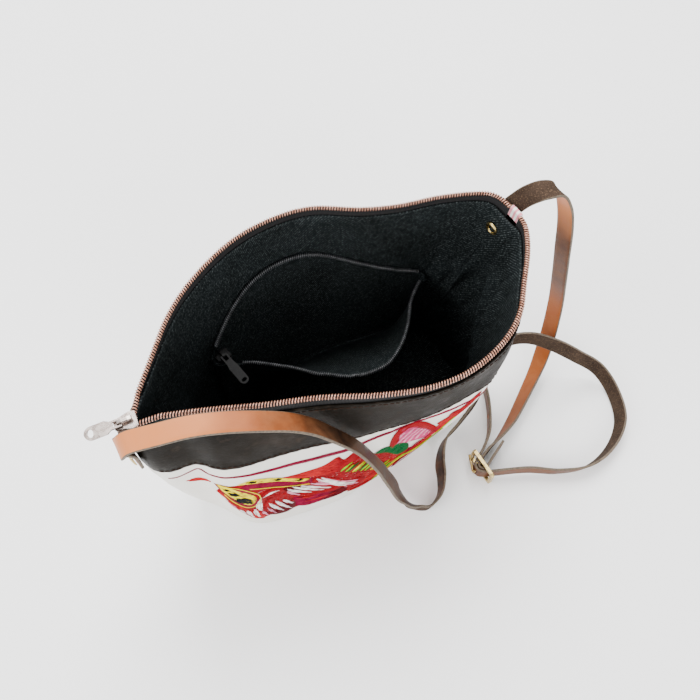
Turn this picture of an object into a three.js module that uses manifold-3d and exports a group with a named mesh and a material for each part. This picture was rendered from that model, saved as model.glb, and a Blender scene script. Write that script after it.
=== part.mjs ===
// Embroidered zip-top purse, standing open, with a buckled leather strap.
// Millimetres. X runs along the mouth from the slider end to the strap's short end,
// the embroidered front faces -Y, Z is up and the base stands on Z = 0.

import * as THREE from 'three';
import { mergeVertices } from 'three/addons/utils/BufferGeometryUtils.js';
import Module from 'manifold-3d';

const wasm = await Module();
wasm.setup();

// Driving sizes of the bag
const MOUTH_LENGTH = 252;
const MOUTH_OPENING = 140;
const HEIGHT = 182;
const BASE_LENGTH = 206;
const BASE_WIDTH = 80;
const BASE_CORNER = 22;
const BASE_EDGE = 5;
const BAND_HEIGHT = 60;
const BAND_DROP = 7;
const GAP = 0.3;

// Thickness of each layer
const LEATHER = 1.6;
const CLOTH = 1.4;
const LINING = 1.2;
const TAPE = 1.0;
const LEATHER_PROUD = 0.6;
const BASE_PLATE = 1.6;

// Zip at the mouth
const TAPE_HEIGHT = 14;
const TEETH_WIDTH = 3.4;
const TEETH_HEIGHT = 2.6;
const TEETH_SHARE_START = 0.03;
const TAB_LENGTH = 9;
const SLIDER_LENGTH = 12;
const SLIDER_WIDTH = 9.5;
const SLIDER_PLATE = 1.2;
const SLIDER_SLOT = 3.2;
const SLIDER_NECK = 1.1;
const THROAT_DEPTH = 1.6;
const CROWN_LENGTH = 8.5;
const CROWN_HEIGHT = 3.6;
const CROWN_WALL = 1.1;
const CROWN_WIDTH = 2;
const CROWN_SINK = 0.2;
const PULL_LENGTH = 19;
const PULL_WIDTH = 7.6;
const PULL_THICKNESS = 1.2;
const PULL_YAW = 8;
const PULL_HOLE = 0.33;
const SLIDER_SETBACK = 1.2;

// Inner zip pocket, on the back wall
const POCKET_LEFT = 0.872;
const POCKET_RIGHT = 0.5825;
const POCKET_DEPTH = 78;
const POCKET_LIP = 107;
const POCKET_FAR_LIP = 99;
const POCKET_LIP_RISE = 40;
const POCKET_LIP_LEAN = 0.8;
const POCKET_OPENING = 64;
const POCKET_SLACK = 3.4;
const POCKET_CLOTH = 1.0;
const POCKET_STANDOFF = 0.9;
const POCKET_TEETH = 2.8;
const POCKET_WALL_TEETH_START = 0.045;
const POCKET_LIP_TEETH_START = 0.085;
const POCKET_TEETH_END = 0.96;
const POCKET_SLIDER_LENGTH = 9;
const POCKET_SLIDER_WIDTH = 7;
const POCKET_SLOT = 2;
const POCKET_SLIDER_YAW = -18;
const POCKET_CROWN = 6.5;
const POCKET_PULL_LENGTH = 23;
const POCKET_PULL_WIDTH = 6;
const POCKET_PULL_HOLE = 0.3;
const POCKET_PULL_DROP = 10;
const POCKET_SWELL = 1.25;
const POCKET_END_INSET = 0.012;

// Strap and its buckle
const STRAP_WIDTH = 12.5;
const STRAP_THICKNESS = 1.8;
const STRAP_STANDOFF = 0.8;
const HOLE_RADIUS = 1.6;
const BUCKLE_LENGTH = 24;
const BUCKLE_WIRE = 2.4;
const BUCKLE_CLEARANCE = 0.5;
const BUCKLE_AT = { along: 0.563, across: -1.243 };
const FOLD_BACK = 24;
const FOLD_SLOPE = 23;
const PRONG_RADIUS = 1.0;

// Rivets that hold the straps: eyelet inside, caps outside
const EYELET_RADIUS = 4.6;
const EYELET_BORE = 2.2;
const EYELET_DEPTH = 1.6;
const EYELET_STANDOFF = 0.9;
const RIVET_LEVEL = 0.9;
const LEFT_RIVET_LEVEL = 0.77;
const RIVET_OFF_SEAM = 0.012;
const LEFT_STRAP_ROOT = [0.74, 0.82];
const RIGHT_STRAP_ROOT = [0.78, 0.95];
const CAP_RADIUS = 4.2;
const CAP_HEIGHT = 1.5;

// Mesh fineness: steps along half of the mouth, levels up the wall, sides of a bead of teeth
// and steps along it, steps along the pocket and its beads, the least share of a step
// between two lines, and the middle of the rounded base edge
const HALF = 28;
const LEVELS = 10;
const BEAD_SIDES = 6;
const BEAD_STEPS = 32;
const POCKET_STEPS = 18;
const POCKET_BEAD_STEPS = 26;
const LEAST_STEP = 0.2;
const EDGE_MIDDLE = 0.3;

// Mouth outline: along, share of half the length; across, share of half the opening
const FRONT_RIM = [
  { along: -1.0, across: 0.0 }, { along: -0.72, across: -0.215 }, { along: -0.48, across: -0.425 },
  { along: -0.26, across: -0.6 }, { along: -0.04, across: -0.82 }, { along: 0.16, across: -0.97 },
  { along: 0.35, across: -1.02 }, { along: 0.546, across: -0.96 }, { along: 0.7, across: -0.82 },
  { along: 0.82, across: -0.6 }, { along: 0.935, across: -0.37 }, { along: 1.005, across: -0.165 },
  { along: 1.015, across: 0.0 },
];
const BACK_RIM = [
  { along: 1.015, across: 0.0 }, { along: 0.995, across: 0.21 }, { along: 0.93, across: 0.335 },
  { along: 0.755, across: 0.483 }, { along: 0.565, across: 0.59 }, { along: 0.4, across: 0.73 },
  { along: 0.2, across: 0.963 }, { along: 0.0, across: 1.042 }, { along: -0.216, across: 1.02 },
  { along: -0.438, across: 0.882 }, { along: -0.617, across: 0.69 }, { along: -0.782, across: 0.42 },
  { along: -0.934, across: 0.14 }, { along: -1.0, across: 0.0 },
];

// How far the wall stands out from the straight line between the base and the mouth:
// around, share of the way round from the slider end; seam, at the band's lower edge, and
// base, at the base, as shares of the base width
const WALL_SHAPE = [
  { around: 0.0, seam: 0.14, base: 0.03 }, { around: 0.018, seam: 0.125, base: 0.02 },
  { around: 0.043, seam: 0.05, base: -0.05 }, { around: 0.07, seam: 0.085, base: -0.055 },
  { around: 0.125, seam: 0.042, base: 0.055 }, { around: 0.195, seam: 0.03, base: 0.155 },
  { around: 0.24, seam: 0.01, base: 0.15 }, { around: 0.28, seam: 0.02, base: 0.13 },
  { around: 0.33, seam: 0.06, base: 0.1 }, { around: 0.36, seam: 0.1, base: 0.075 },
  { around: 0.39, seam: 0.045, base: 0.03 }, { around: 0.42, seam: -0.02, base: 0.0 },
  { around: 0.5, seam: 0.0, base: 0.0 }, { around: 0.6, seam: 0.0, base: 0.0 },
  { around: 0.74, seam: 0.06, base: 0.06 }, { around: 0.9, seam: 0.0, base: 0.02 },
  { around: 0.97, seam: 0.09, base: 0.03 },
];

// Dents of the whole wall: level, share of the height; push, share of the base width,
// outward when positive
const DENTS = [
  { around: 0.3, level: 0.35, push: -0.03, spanAround: 0.06, spanLevel: 0.16 },
  { around: 0.94, level: 0.55, push: -0.05, spanAround: 0.03, spanLevel: 0.3 },
];

// Folds of the loose lining, all inward: the same columns, and slant, the shift round
// the bag for the whole height
const LINING_FOLDS = [
  { around: 0.435, level: 0.5, push: 0.07, spanAround: 0.014, spanLevel: 0.34, slant: 0.05 },
  { around: 0.475, level: 0.62, push: 0.08, spanAround: 0.013, spanLevel: 0.3, slant: 0.06 },
  { around: 0.53, level: 0.6, push: 0.09, spanAround: 0.014, spanLevel: 0.3, slant: -0.05 },
  { around: 0.565, level: 0.45, push: 0.06, spanAround: 0.016, spanLevel: 0.3, slant: -0.04 },
  { around: 0.2, level: 0.35, push: 0.05, spanAround: 0.03, spanLevel: 0.3, slant: 0.03 },
  { around: 0.955, level: 0.5, push: 0.05, spanAround: 0.016, spanLevel: 0.3, slant: 0.02 },
];

// Lower lip of the pocket: along, share of the lip from the slider end; open, share
// of the pocket's opening; sag, share of the pocket's depth
const POCKET_LIP_SHAPE = [
  { along: 0.0, open: 0.03, sag: 0.0 }, { along: 0.1, open: 0.245, sag: 0.02 },
  { along: 0.2, open: 0.5, sag: 0.042 }, { along: 0.31, open: 0.75, sag: 0.063 },
  { along: 0.43, open: 0.925, sag: 0.078 }, { along: 0.55, open: 0.99, sag: 0.079 },
  { along: 0.66, open: 0.97, sag: 0.067 }, { along: 0.73, open: 0.89, sag: 0.055 },
  { along: 0.79, open: 0.73, sag: 0.043 }, { along: 0.845, open: 0.49, sag: 0.032 },
  { along: 0.885, open: 0.255, sag: 0.024 }, { along: 0.95, open: 0.075, sag: 0.009 },
  { along: 1.0, open: 0.03, sag: 0.0 },
];

// Routes of the two straps: along and across as in the mouth outline, lift of the lower
// edge as a share of the height, and the direction of the strap's width
const LONG_STRAP = [
  { along: -1.055, across: -0.07, lift: 0.92, width: [0.04, 1, 0.05] },
  { along: -1.065, across: -0.15, lift: 0.99, width: [0.08, 1, 0.05] },
  { along: -1.02, across: -0.2, lift: 1.045, width: [0.12, 1, 0.05] },
  { along: -0.91, across: -0.27, lift: 1.06, width: [0.2, 1, 0.03] },
  { along: -0.78, across: -0.34, lift: 1.06, width: [0.25, 1, 0] },
  { along: -0.65, across: -0.43, lift: 1.045, width: [0.3, 1, -0.03] },
  { along: -0.52, across: -0.54, lift: 1.02, width: [0.33, 1, -0.12] },
  { along: -0.41, across: -0.62, lift: 0.97, width: [0.35, 1, -0.25] },
  { along: -0.33, across: -0.7, lift: 0.92, width: [0.38, 0.95, -0.4] },
  { along: -0.25, across: -0.79, lift: 0.83, width: [0.4, 0.8, -0.6] },
  { along: -0.17, across: -0.88, lift: 0.72, width: [0.42, 0.6, -0.75] },
  { along: -0.1, across: -0.98, lift: 0.57, width: [0.4, 0.36, -0.85] },
  { along: -0.04, across: -1.07, lift: 0.39, width: [0.36, 0.15, -0.9] },
  { along: 0.02, across: -1.16, lift: 0.2, width: [0.3, 0.02, -0.95] },
  { along: 0.09, across: -1.25, lift: 0.065, width: [0.18, 0, -1] },
  { along: 0.18, across: -1.305, lift: 0.008, width: [0.04, 0.1, -1] },
  { along: 0.27, across: -1.25, lift: 0.006, width: [-0.16, 0.14, -1] },
  { along: 0.33, across: -1.12, lift: 0.008, width: [-0.5, -0.1, -1] },
  { along: 0.38, across: -0.96, lift: 0.015, width: [-0.6, -0.15, -1] },
  { along: 0.46, across: -0.82, lift: 0.03, width: [-0.3, 0, -1] },
  { along: 0.58, across: -0.755, lift: 0.055, width: [0, 0.04, -1] },
  { along: 0.72, across: -0.67, lift: 0.1, width: [0, -0.04, -1] },
  { along: 0.84, across: -0.54, lift: 0.15, width: [-0.02, -0.1, -1] },
  { along: 0.94, across: -0.42, lift: 0.2, width: [-0.04, -0.16, -1] },
  { along: 1.04, across: -0.39, lift: 0.235, width: [-0.06, -0.18, -1] },
  { along: 1.15, across: -0.47, lift: 0.235, width: [-0.08, -0.2, -1] },
  { along: 1.27, across: -0.62, lift: 0.19, width: [-0.14, -0.18, -1] },
  { along: 1.4, across: -0.81, lift: 0.11, width: [-0.22, -0.14, -1] },
  { along: 1.51, across: -1.03, lift: 0.04, width: [-0.34, -0.02, -1] },
  { along: 1.52, across: -1.3, lift: 0.004, width: [-0.42, 0.14, -1] },
  { along: 1.44, across: -1.6, lift: 0.004, width: [-0.34, 0.34, -1] },
  { along: 1.28, across: -1.78, lift: 0.004, width: [-0.1, 0.34, -1] },
  { along: 1.1, across: -1.82, lift: 0.004, width: [0, 0.2, -1] },
  { along: 0.93, across: -1.7, lift: 0.004, width: [0, 0.1, -1] },
  { along: 0.78, across: -1.52, lift: 0.012, width: [0, 0, -1] },
];
const STRAP_TAIL = [
  { along: 0.635, across: -1.09, lift: 0.012, width: [0, 0, -1] },
  { along: 0.72, across: -0.98, lift: 0.008, width: [0, 0, -1] },
  { along: 0.785, across: -0.83, lift: 0.006, width: [0, 0, -1] },
  { along: 0.84, across: -0.66, lift: 0.006, width: [0, 0, -1] },
  { along: 0.88, across: -0.49, lift: 0.006, width: [0, 0, -1] },
];
const SHORT_STRAP = [
  { along: 1.045, across: 0.07, lift: 0.995, width: [0.2, -1, 0] },
  { along: 1.07, across: 0.02, lift: 1.04, width: [0.12, -1, 0] },
  { along: 1.115, across: -0.04, lift: 1.07, width: [0.1, -1, 0] },
  { along: 1.17, across: -0.1, lift: 1.07, width: [0.12, -1, 0] },
  { along: 1.21, across: -0.155, lift: 1.015, width: [0.14, -1, 0] },
  { along: 1.235, across: -0.215, lift: 0.92, width: [0.15, -1, 0] },
  { along: 1.262, across: -0.285, lift: 0.74, width: [0.15, -1, 0.05] },
  { along: 1.3, across: -0.33, lift: 0.56, width: [0.15, -1, 0.1] },
  { along: 1.33, across: -0.385, lift: 0.37, width: [0.2, -1, 0.2] },
  { along: 1.3, across: -0.5, lift: 0.18, width: [0.28, -0.9, 0.4] },
  { along: 1.215, across: -0.64, lift: 0.03, width: [0.34, -0.7, 0.62] },
  { along: 1.05, across: -0.82, lift: 0.008, width: [0.33, -0.54, 0.77] },
  { along: 0.87, across: -1.0, lift: 0.006, width: [0.26, -0.4, 0.88] },
  { along: 0.74, across: -1.09, lift: 0.012, width: [0.1, -0.16, 1] },
];

// Finish of each material
const FINISH = {
  bandLeather: { color: 0x2a211c, roughness: 0.5, metalness: 0 },
  strapLeather: { color: 0x8a4f2e, roughness: 0.42, metalness: 0 },
  cotton: { color: 0xece7da, roughness: 0.9, metalness: 0 },
  embroidered: { color: 0xd8384a, roughness: 0.7, metalness: 0 },
  lining: { color: 0x15171a, roughness: 0.85, metalness: 0 },
  tape: { color: 0x0e0e10, roughness: 0.9, metalness: 0 },
  copper: { color: 0xc98f72, roughness: 0.35, metalness: 0.8 },
  nickel: { color: 0xb9aca6, roughness: 0.3, metalness: 1 },
  blackZip: { color: 0x18181a, roughness: 0.45, metalness: 0 },
  brass: { color: 0xb5903f, roughness: 0.35, metalness: 1 },
};

const root = new THREE.Group();

function addPart(name, geometry, finish, parent = root) {
  const material = new THREE.MeshStandardMaterial(FINISH[finish]);
  const mesh = new THREE.Mesh(geometry, material);
  mesh.name = name;
  parent.add(mesh);
  return mesh;
}

// Solids from triangles, and their joins and cuts

function asManifold(geometry) {
  const bare = geometry.clone();
  bare.deleteAttribute('normal');
  bare.deleteAttribute('uv');
  const merged = mergeVertices(bare, 1e-4);
  const vertProperties = Float32Array.from(merged.attributes.position.array);
  const triVerts = Uint32Array.from(merged.index.array);
  return new wasm.Manifold(new wasm.Mesh({ numProp: 3, vertProperties, triVerts }));
}

function asGeometry(manifold) {
  const mesh = manifold.getMesh();
  const geometry = new THREE.BufferGeometry();
  geometry.setAttribute('position', new THREE.BufferAttribute(mesh.vertProperties, 3));
  geometry.setIndex(new THREE.BufferAttribute(mesh.triVerts, 1));
  return geometry;
}

function join(first, ...others) {
  return asGeometry(others.reduce((sum, one) => sum.add(asManifold(one)), asManifold(first)));
}

function cut(body, ...tools) {
  return asGeometry(tools.reduce((rest, one) => rest.subtract(asManifold(one)), asManifold(body)));
}

function geometryFrom(points, triangles) {
  const geometry = new THREE.BufferGeometry();
  const flat = points.flatMap((p) => [p.x, p.y, p.z]);
  geometry.setAttribute('position', new THREE.Float32BufferAttribute(flat, 3));
  geometry.setIndex(triangles);
  return geometry;
}

// Wall of the bag: where a point lies at a share round it and a share of its height

const mouthPoint = (row) => new THREE.Vector2(
  row.along * MOUTH_LENGTH / 2, row.across * MOUTH_OPENING / 2);
const frontRim = new THREE.SplineCurve(FRONT_RIM.map(mouthPoint));
const backRim = new THREE.SplineCurve(BACK_RIM.map(mouthPoint));
const girth = frontRim.getLength() + backRim.getLength();

function halfBase(side) {
  const x = BASE_LENGTH / 2;
  const y = BASE_WIDTH / 2;
  const path = new THREE.Path();
  path.moveTo(-side * x, 0);
  path.lineTo(-side * x, -side * (y - BASE_CORNER));
  const turn = side > 0 ? Math.PI : 0;
  path.absarc(-side * (x - BASE_CORNER), -side * (y - BASE_CORNER), BASE_CORNER,
    turn, turn + Math.PI / 2, false);
  path.lineTo(side * (x - BASE_CORNER), -side * y);
  path.absarc(side * (x - BASE_CORNER), -side * (y - BASE_CORNER), BASE_CORNER,
    turn + Math.PI / 2, turn + Math.PI, false);
  path.lineTo(side * x, 0);
  return path;
}
const frontBase = halfBase(1);
const backBase = halfBase(-1);

function outline(front, back, around) {
  const share = ((around % 1) + 1) % 1;
  return share <= 0.5 ? front.getPointAt(share * 2) : back.getPointAt(share * 2 - 1);
}

function bell(around, level, row) {
  const centre = row.around + (row.slant ?? 0) * (level - row.level);
  let away = Math.abs(around - centre);
  away = Math.min(away, 1 - away);
  const across = (away / row.spanAround) ** 2;
  const up = ((level - row.level) / row.spanLevel) ** 2;
  return row.push * BASE_WIDTH * Math.exp(-across - up);
}

// A smooth step through four rows, each with its place x and value y, from the second
// to the third
function smoothStep([before, here, next, after], x) {
  const span = next.x - here.x;
  const slopeHere = (next.y - before.y) / (next.x - before.x) * span;
  const slopeNext = (after.y - here.y) / (after.x - here.x) * span;
  const t = (x - here.x) / span;
  return here.y * (2 * t ** 3 - 3 * t ** 2 + 1) + slopeHere * (t ** 3 - 2 * t ** 2 + t)
    + next.y * (3 * t ** 2 - 2 * t ** 3) + slopeNext * (t ** 3 - t ** 2);
}

// A column of a table, smooth from row to row; the table goes round once
function smoothColumn(table, column, around) {
  const share = ((around % 1) + 1) % 1;
  const count = table.length;
  const low = table.findLastIndex((row) => row.around <= share);
  const at = (k) => {
    const turn = Math.floor((low + k) / count);
    const row = table[low + k - turn * count];
    return { x: row.around + turn, y: row[column] };
  };
  return smoothStep([at(-1), at(0), at(1), at(2)], share);
}

const seamLevel = (HEIGHT - BAND_HEIGHT) / HEIGHT;

function swell(around, level) {
  const atSeam = level * (1 - level) / (seamLevel * (1 - seamLevel));
  const atBase = (1 - level) ** 2;
  return BASE_WIDTH * (atSeam * smoothColumn(WALL_SHAPE, 'seam', around)
    + atBase * smoothColumn(WALL_SHAPE, 'base', around));
}

function levelPoint(around, level) {
  const low = outline(frontBase, backBase, around);
  const high = outline(frontRim, backRim, around);
  return low.clone().lerp(high, level);
}

function edgeInset(z) {
  if (z >= BASE_EDGE) {
    return 0;
  }
  return BASE_EDGE - Math.sqrt(BASE_EDGE ** 2 - (BASE_EDGE - z) ** 2);
}

function outward(around, level) {
  const step = 0.004;
  const before = levelPoint(around - step, level);
  const after = levelPoint(around + step, level);
  const run = after.sub(before).normalize();
  return new THREE.Vector2(run.y, -run.x);
}

function wall(around, z, out, loose = false) {
  const level = z / HEIGHT;
  const share = ((around % 1) + 1) % 1;
  let shift = out - edgeInset(z) + swell(share, level);
  for (const row of DENTS) {
    shift += bell(share, level, row);
  }
  if (loose) {
    for (const row of LINING_FOLDS) {
      shift -= bell(share, level, row);
    }
  }
  const normal = outward(share, level);
  const p = levelPoint(share, level).addScaledVector(normal, shift);
  return new THREE.Vector3(p.x, p.y, z);
}

// A closed or open curved sheet between an outer and an inner grid of points, rows going
// up and columns going round counter-clockwise; floor closes both skins across the bottom

function sheet(outer, inner, { closed = false, floor = false } = {}) {
  const rows = outer.length;
  const columns = outer[0].length;
  const points = [...outer.flat(), ...inner.flat()];
  const triangles = [];
  const skin = rows * columns;
  const out = (r, c) => r * columns + (c % columns);
  const inn = (r, c) => skin + out(r, c);
  const quad = (a, b, c, d) => triangles.push(a, b, c, a, c, d);
  const steps = closed ? columns : columns - 1;
  for (let r = 0; r < rows - 1; r += 1) {
    for (let c = 0; c < steps; c += 1) {
      quad(out(r, c), out(r, c + 1), out(r + 1, c + 1), out(r + 1, c));
      quad(inn(r, c), inn(r + 1, c), inn(r + 1, c + 1), inn(r, c + 1));
    }
  }
  const top = rows - 1;
  for (let c = 0; c < steps; c += 1) {
    quad(out(top, c), out(top, c + 1), inn(top, c + 1), inn(top, c));
    if (!floor) {
      quad(out(0, c), inn(0, c), inn(0, c + 1), out(0, c + 1));
    }
  }
  if (floor) {
    for (const [at, facingUp] of [[out, false], [inn, true]]) {
      for (let c = 0; c < columns / 2; c += 1) {
        const far = (k) => at(0, (columns - k) % columns);
        const corners = [at(0, c), at(0, c + 1), far(c + 1), far(c)];
        const ring = facingUp ? corners : corners.reverse();
        for (const [i, j, k] of [[0, 1, 2], [0, 2, 3]]) {
          if (new Set([ring[i], ring[j], ring[k]]).size === 3) {
            triangles.push(ring[i], ring[j], ring[k]);
          }
        }
      }
    }
  }
  if (!closed) {
    const last = columns - 1;
    for (let r = 0; r < top; r += 1) {
      quad(out(r, 0), out(r + 1, 0), inn(r + 1, 0), inn(r, 0));
      quad(out(r, last), inn(r, last), inn(r + 1, last), out(r + 1, last));
    }
  }
  return geometryFrom(points, triangles);
}

// Every sheet of the wall bends along the same upright and level lines, so that layers
// keep their gap; a sheet adds only its own edges to them
function between(low, high, step) {
  const inside = [];
  for (let k = Math.floor(low / step) + 1; k * step < high - step * LEAST_STEP; k += 1) {
    if (k * step > low + step * LEAST_STEP) {
      inside.push(k * step);
    }
  }
  return [low, ...inside, high];
}

const LEVEL_STEP = HEIGHT / LEVELS;
const AROUND_STEP = 0.5 / HALF;
const tabShare = TAB_LENGTH / 2 / girth;
const tapeEnds = [0.5 - tabShare, 0.5 + tabShare];

function wallSheet(start, end, levels, outOffset, inOffset, loose = false) {
  const extra = tapeEnds.filter((share) => share > start && share < end);
  const shares = [...between(start, end, AROUND_STEP), ...extra].sort((a, b) => a - b);
  const grid = (offset) => levels.map((z) => shares.map((share) => wall(share, z, offset, loose)));
  return sheet(grid(outOffset), grid(inOffset));
}

function levelsBetween(low, high, count) {
  return Array.from({ length: count + 1 }, (_, k) => low + (high - low) * k / count);
}

// Leather band round the top and the cotton panels below it

const bandLow = HEIGHT - BAND_HEIGHT;
const bandHigh = HEIGHT - BAND_DROP;
const clothHigh = bandLow - GAP;
const seam = GAP / 2 / girth;
const leatherIn = LEATHER_PROUD - LEATHER;
const bandLevels = between(bandLow, bandHigh, LEVEL_STEP);
const edgeLevels = [0, BASE_EDGE * EDGE_MIDDLE];
const panelLevels = [...edgeLevels, ...between(BASE_EDGE, clothHigh, LEVEL_STEP)];

addPart('band_front', wallSheet(seam, 0.5 - seam, bandLevels, LEATHER_PROUD, leatherIn),
  'bandLeather');
addPart('band_back', wallSheet(0.5 + seam, 1 - seam, bandLevels, LEATHER_PROUD, leatherIn),
  'bandLeather');
addPart('front_panel', wallSheet(seam, 0.5 - seam, panelLevels, 0, -CLOTH), 'embroidered');
addPart('back_panel', wallSheet(0.5 + seam, 1 - seam, panelLevels, 0, -CLOTH), 'cotton');

// Flat base plate inside the lower edge of the panels

function basePlate() {
  const shape = new THREE.Shape();
  for (let c = 0; c < 2 * HALF; c += 1) {
    const p = wall(c * AROUND_STEP, 0, -CLOTH - GAP);
    if (c === 0) {
      shape.moveTo(p.x, p.y);
    } else {
      shape.lineTo(p.x, p.y);
    }
  }
  return new THREE.ExtrudeGeometry(shape, { depth: BASE_PLATE, bevelEnabled: false });
}
addPart('base_panel', basePlate(), 'cotton');

// Lining: a loose bag of its own, with a floor

const liningOut = leatherIn - GAP - TAPE - GAP;
const liningIn = liningOut - LINING;
const liningHigh = HEIGHT - TEETH_HEIGHT - SLIDER_SLOT;
const liningLow = BASE_PLATE + GAP;

function liningBag() {
  const grid = (offset, low) => [low, ...between(BASE_EDGE, liningHigh, LEVEL_STEP)].map((z) =>
    Array.from({ length: 2 * HALF }, (_, c) => wall(c * AROUND_STEP, z, offset, true)));
  return sheet(grid(liningOut, liningLow), grid(liningIn, liningLow + LINING),
    { closed: true, floor: true });
}
addPart('lining', liningBag(), 'lining');

// Zip at the mouth: a tape and a row of teeth on each side, and the tab over their ends

const tapeOut = leatherIn - GAP;
const tapeIn = tapeOut - TAPE;
const tapeMid = (tapeOut + tapeIn) / 2;
const tapeHigh = HEIGHT - TEETH_HEIGHT / 2 - GAP;
const tapeLow = tapeHigh - TAPE_HEIGHT;

// A bead of oval section along a line of points, each with its own outward direction
function bead(line, wide, high) {
  const rings = line.map(({ at, out }) => Array.from({ length: BEAD_SIDES }, (_, k) => {
    const turn = 2 * Math.PI * k / BEAD_SIDES;
    const p = at.clone().addScaledVector(out, Math.cos(turn) * wide / 2);
    p.z += Math.sin(turn) * high / 2;
    return p;
  }));
  const triangles = [];
  for (let r = 0; r < rings.length - 1; r += 1) {
    for (let k = 0; k < BEAD_SIDES; k += 1) {
      const a = r * BEAD_SIDES + k;
      const b = r * BEAD_SIDES + (k + 1) % BEAD_SIDES;
      triangles.push(a, b + BEAD_SIDES, b, a, a + BEAD_SIDES, b + BEAD_SIDES);
    }
  }
  const last = (rings.length - 1) * BEAD_SIDES;
  for (let k = 1; k < BEAD_SIDES - 1; k += 1) {
    triangles.push(0, k, k + 1, last, last + k + 1, last + k);
  }
  return geometryFrom(rings.flat(), triangles);
}

// Where the slider stands: its throat, turned to the open mouth, takes in both rows of teeth
const sliderGroup = new THREE.Group();
sliderGroup.position.set(-MOUTH_LENGTH / 2 + SLIDER_SETBACK, 0, HEIGHT);
sliderGroup.rotation.z = THREE.MathUtils.degToRad(180 - PULL_YAW);
sliderGroup.updateMatrixWorld(true);
root.add(sliderGroup);

function throat(side) {
  const across = SLIDER_NECK / 2 + GAP + TEETH_WIDTH / 2;
  const at = new THREE.Vector3(-SLIDER_LENGTH / 2 + THROAT_DEPTH, side * across, 0);
  const out = new THREE.Vector3(0, side, 0).transformDirection(sliderGroup.matrixWorld);
  return { at: at.applyMatrix4(sliderGroup.matrixWorld), out };
}

function rimLine(start, end, steps) {
  return Array.from({ length: steps + 1 }, (_, k) => {
    const around = start + (end - start) * k / steps;
    const normal = outward(around, 1);
    return { at: wall(around, HEIGHT, tapeMid), out: new THREE.Vector3(normal.x, normal.y, 0) };
  });
}

const tapeStart = TEETH_SHARE_START;
const tapeEnd = 0.5 - tabShare;
const frontTeeth = [throat(1), ...rimLine(tapeStart, tapeEnd, BEAD_STEPS)];
const backTeeth = [...rimLine(1 - tapeEnd, 1 - tapeStart, BEAD_STEPS), throat(-1)];
for (const [name, start, end, line] of [
  ['front', tapeStart, tapeEnd, frontTeeth], ['back', 1 - tapeEnd, 1 - tapeStart, backTeeth]]) {
  addPart(`zip_tape_${name}`, wallSheet(start, end,
    between(tapeLow, tapeHigh, LEVEL_STEP), tapeOut, tapeIn), 'tape');
  addPart(`zip_teeth_${name}`, bead(line, TEETH_WIDTH, TEETH_HEIGHT), 'copper');
}
const tabGap = tabShare - GAP / girth;
addPart('zip_end_tab', wallSheet(0.5 - tabGap, 0.5 + tabGap,
  [bandHigh + GAP, HEIGHT + TEETH_HEIGHT / 2], LEATHER_PROUD, tapeIn), 'cotton');

// Slider: two plates joined by a neck, with a crown that the pull hangs on; its wide end,
// where the neck is, lies towards -X

function sliderBody(length, width, plate, slot) {
  const outlineShape = new THREE.Shape();
  const half = length / 2;
  outlineShape.moveTo(-half, -width * 0.42);
  outlineShape.lineTo(-half * 0.5, -width / 2);
  outlineShape.lineTo(half, -width * 0.28);
  outlineShape.lineTo(half, width * 0.28);
  outlineShape.lineTo(-half * 0.5, width / 2);
  outlineShape.lineTo(-half, width * 0.42);
  const plates = [-slot / 2 - plate, slot / 2].map((z) => {
    const geometry = new THREE.ExtrudeGeometry(outlineShape, { depth: plate, bevelEnabled: false });
    return geometry.translate(0, 0, z);
  });
  const neckLength = length * 0.3;
  const neck = new THREE.BoxGeometry(neckLength, SLIDER_NECK, slot + plate);
  neck.translate(-half + neckLength / 2, 0, 0);
  return join(plates[0], plates[1], neck);
}

function crown(length, height, thick, width) {
  const side = new THREE.Shape();
  const half = length / 2;
  side.moveTo(-half, 0);
  side.lineTo(-half, height * 0.55);
  side.quadraticCurveTo(-half, height, -half * 0.4, height);
  side.lineTo(half * 0.4, height);
  side.quadraticCurveTo(half, height, half, height * 0.55);
  side.lineTo(half, 0);
  side.lineTo(half - thick, 0);
  side.lineTo(half - thick, height * 0.5);
  side.quadraticCurveTo(half - thick, height - thick, half * 0.3, height - thick);
  side.lineTo(-half * 0.3, height - thick);
  side.quadraticCurveTo(-half + thick, height - thick, -half + thick, height * 0.5);
  side.lineTo(-half + thick, 0);
  const geometry = new THREE.ExtrudeGeometry(side, { depth: width, bevelEnabled: false, curveSegments: 4 });
  geometry.rotateX(Math.PI / 2);
  return geometry.translate(0, width / 2, 0);
}

function sliderWithCrown(length, width, slot, crownLength) {
  const body = sliderBody(length, width, SLIDER_PLATE, slot);
  const arch = crown(crownLength, CROWN_HEIGHT, CROWN_WALL, CROWN_WIDTH);
  arch.translate(0, 0, slot / 2 + SLIDER_PLATE - CROWN_SINK);
  return join(body, arch);
}

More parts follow.
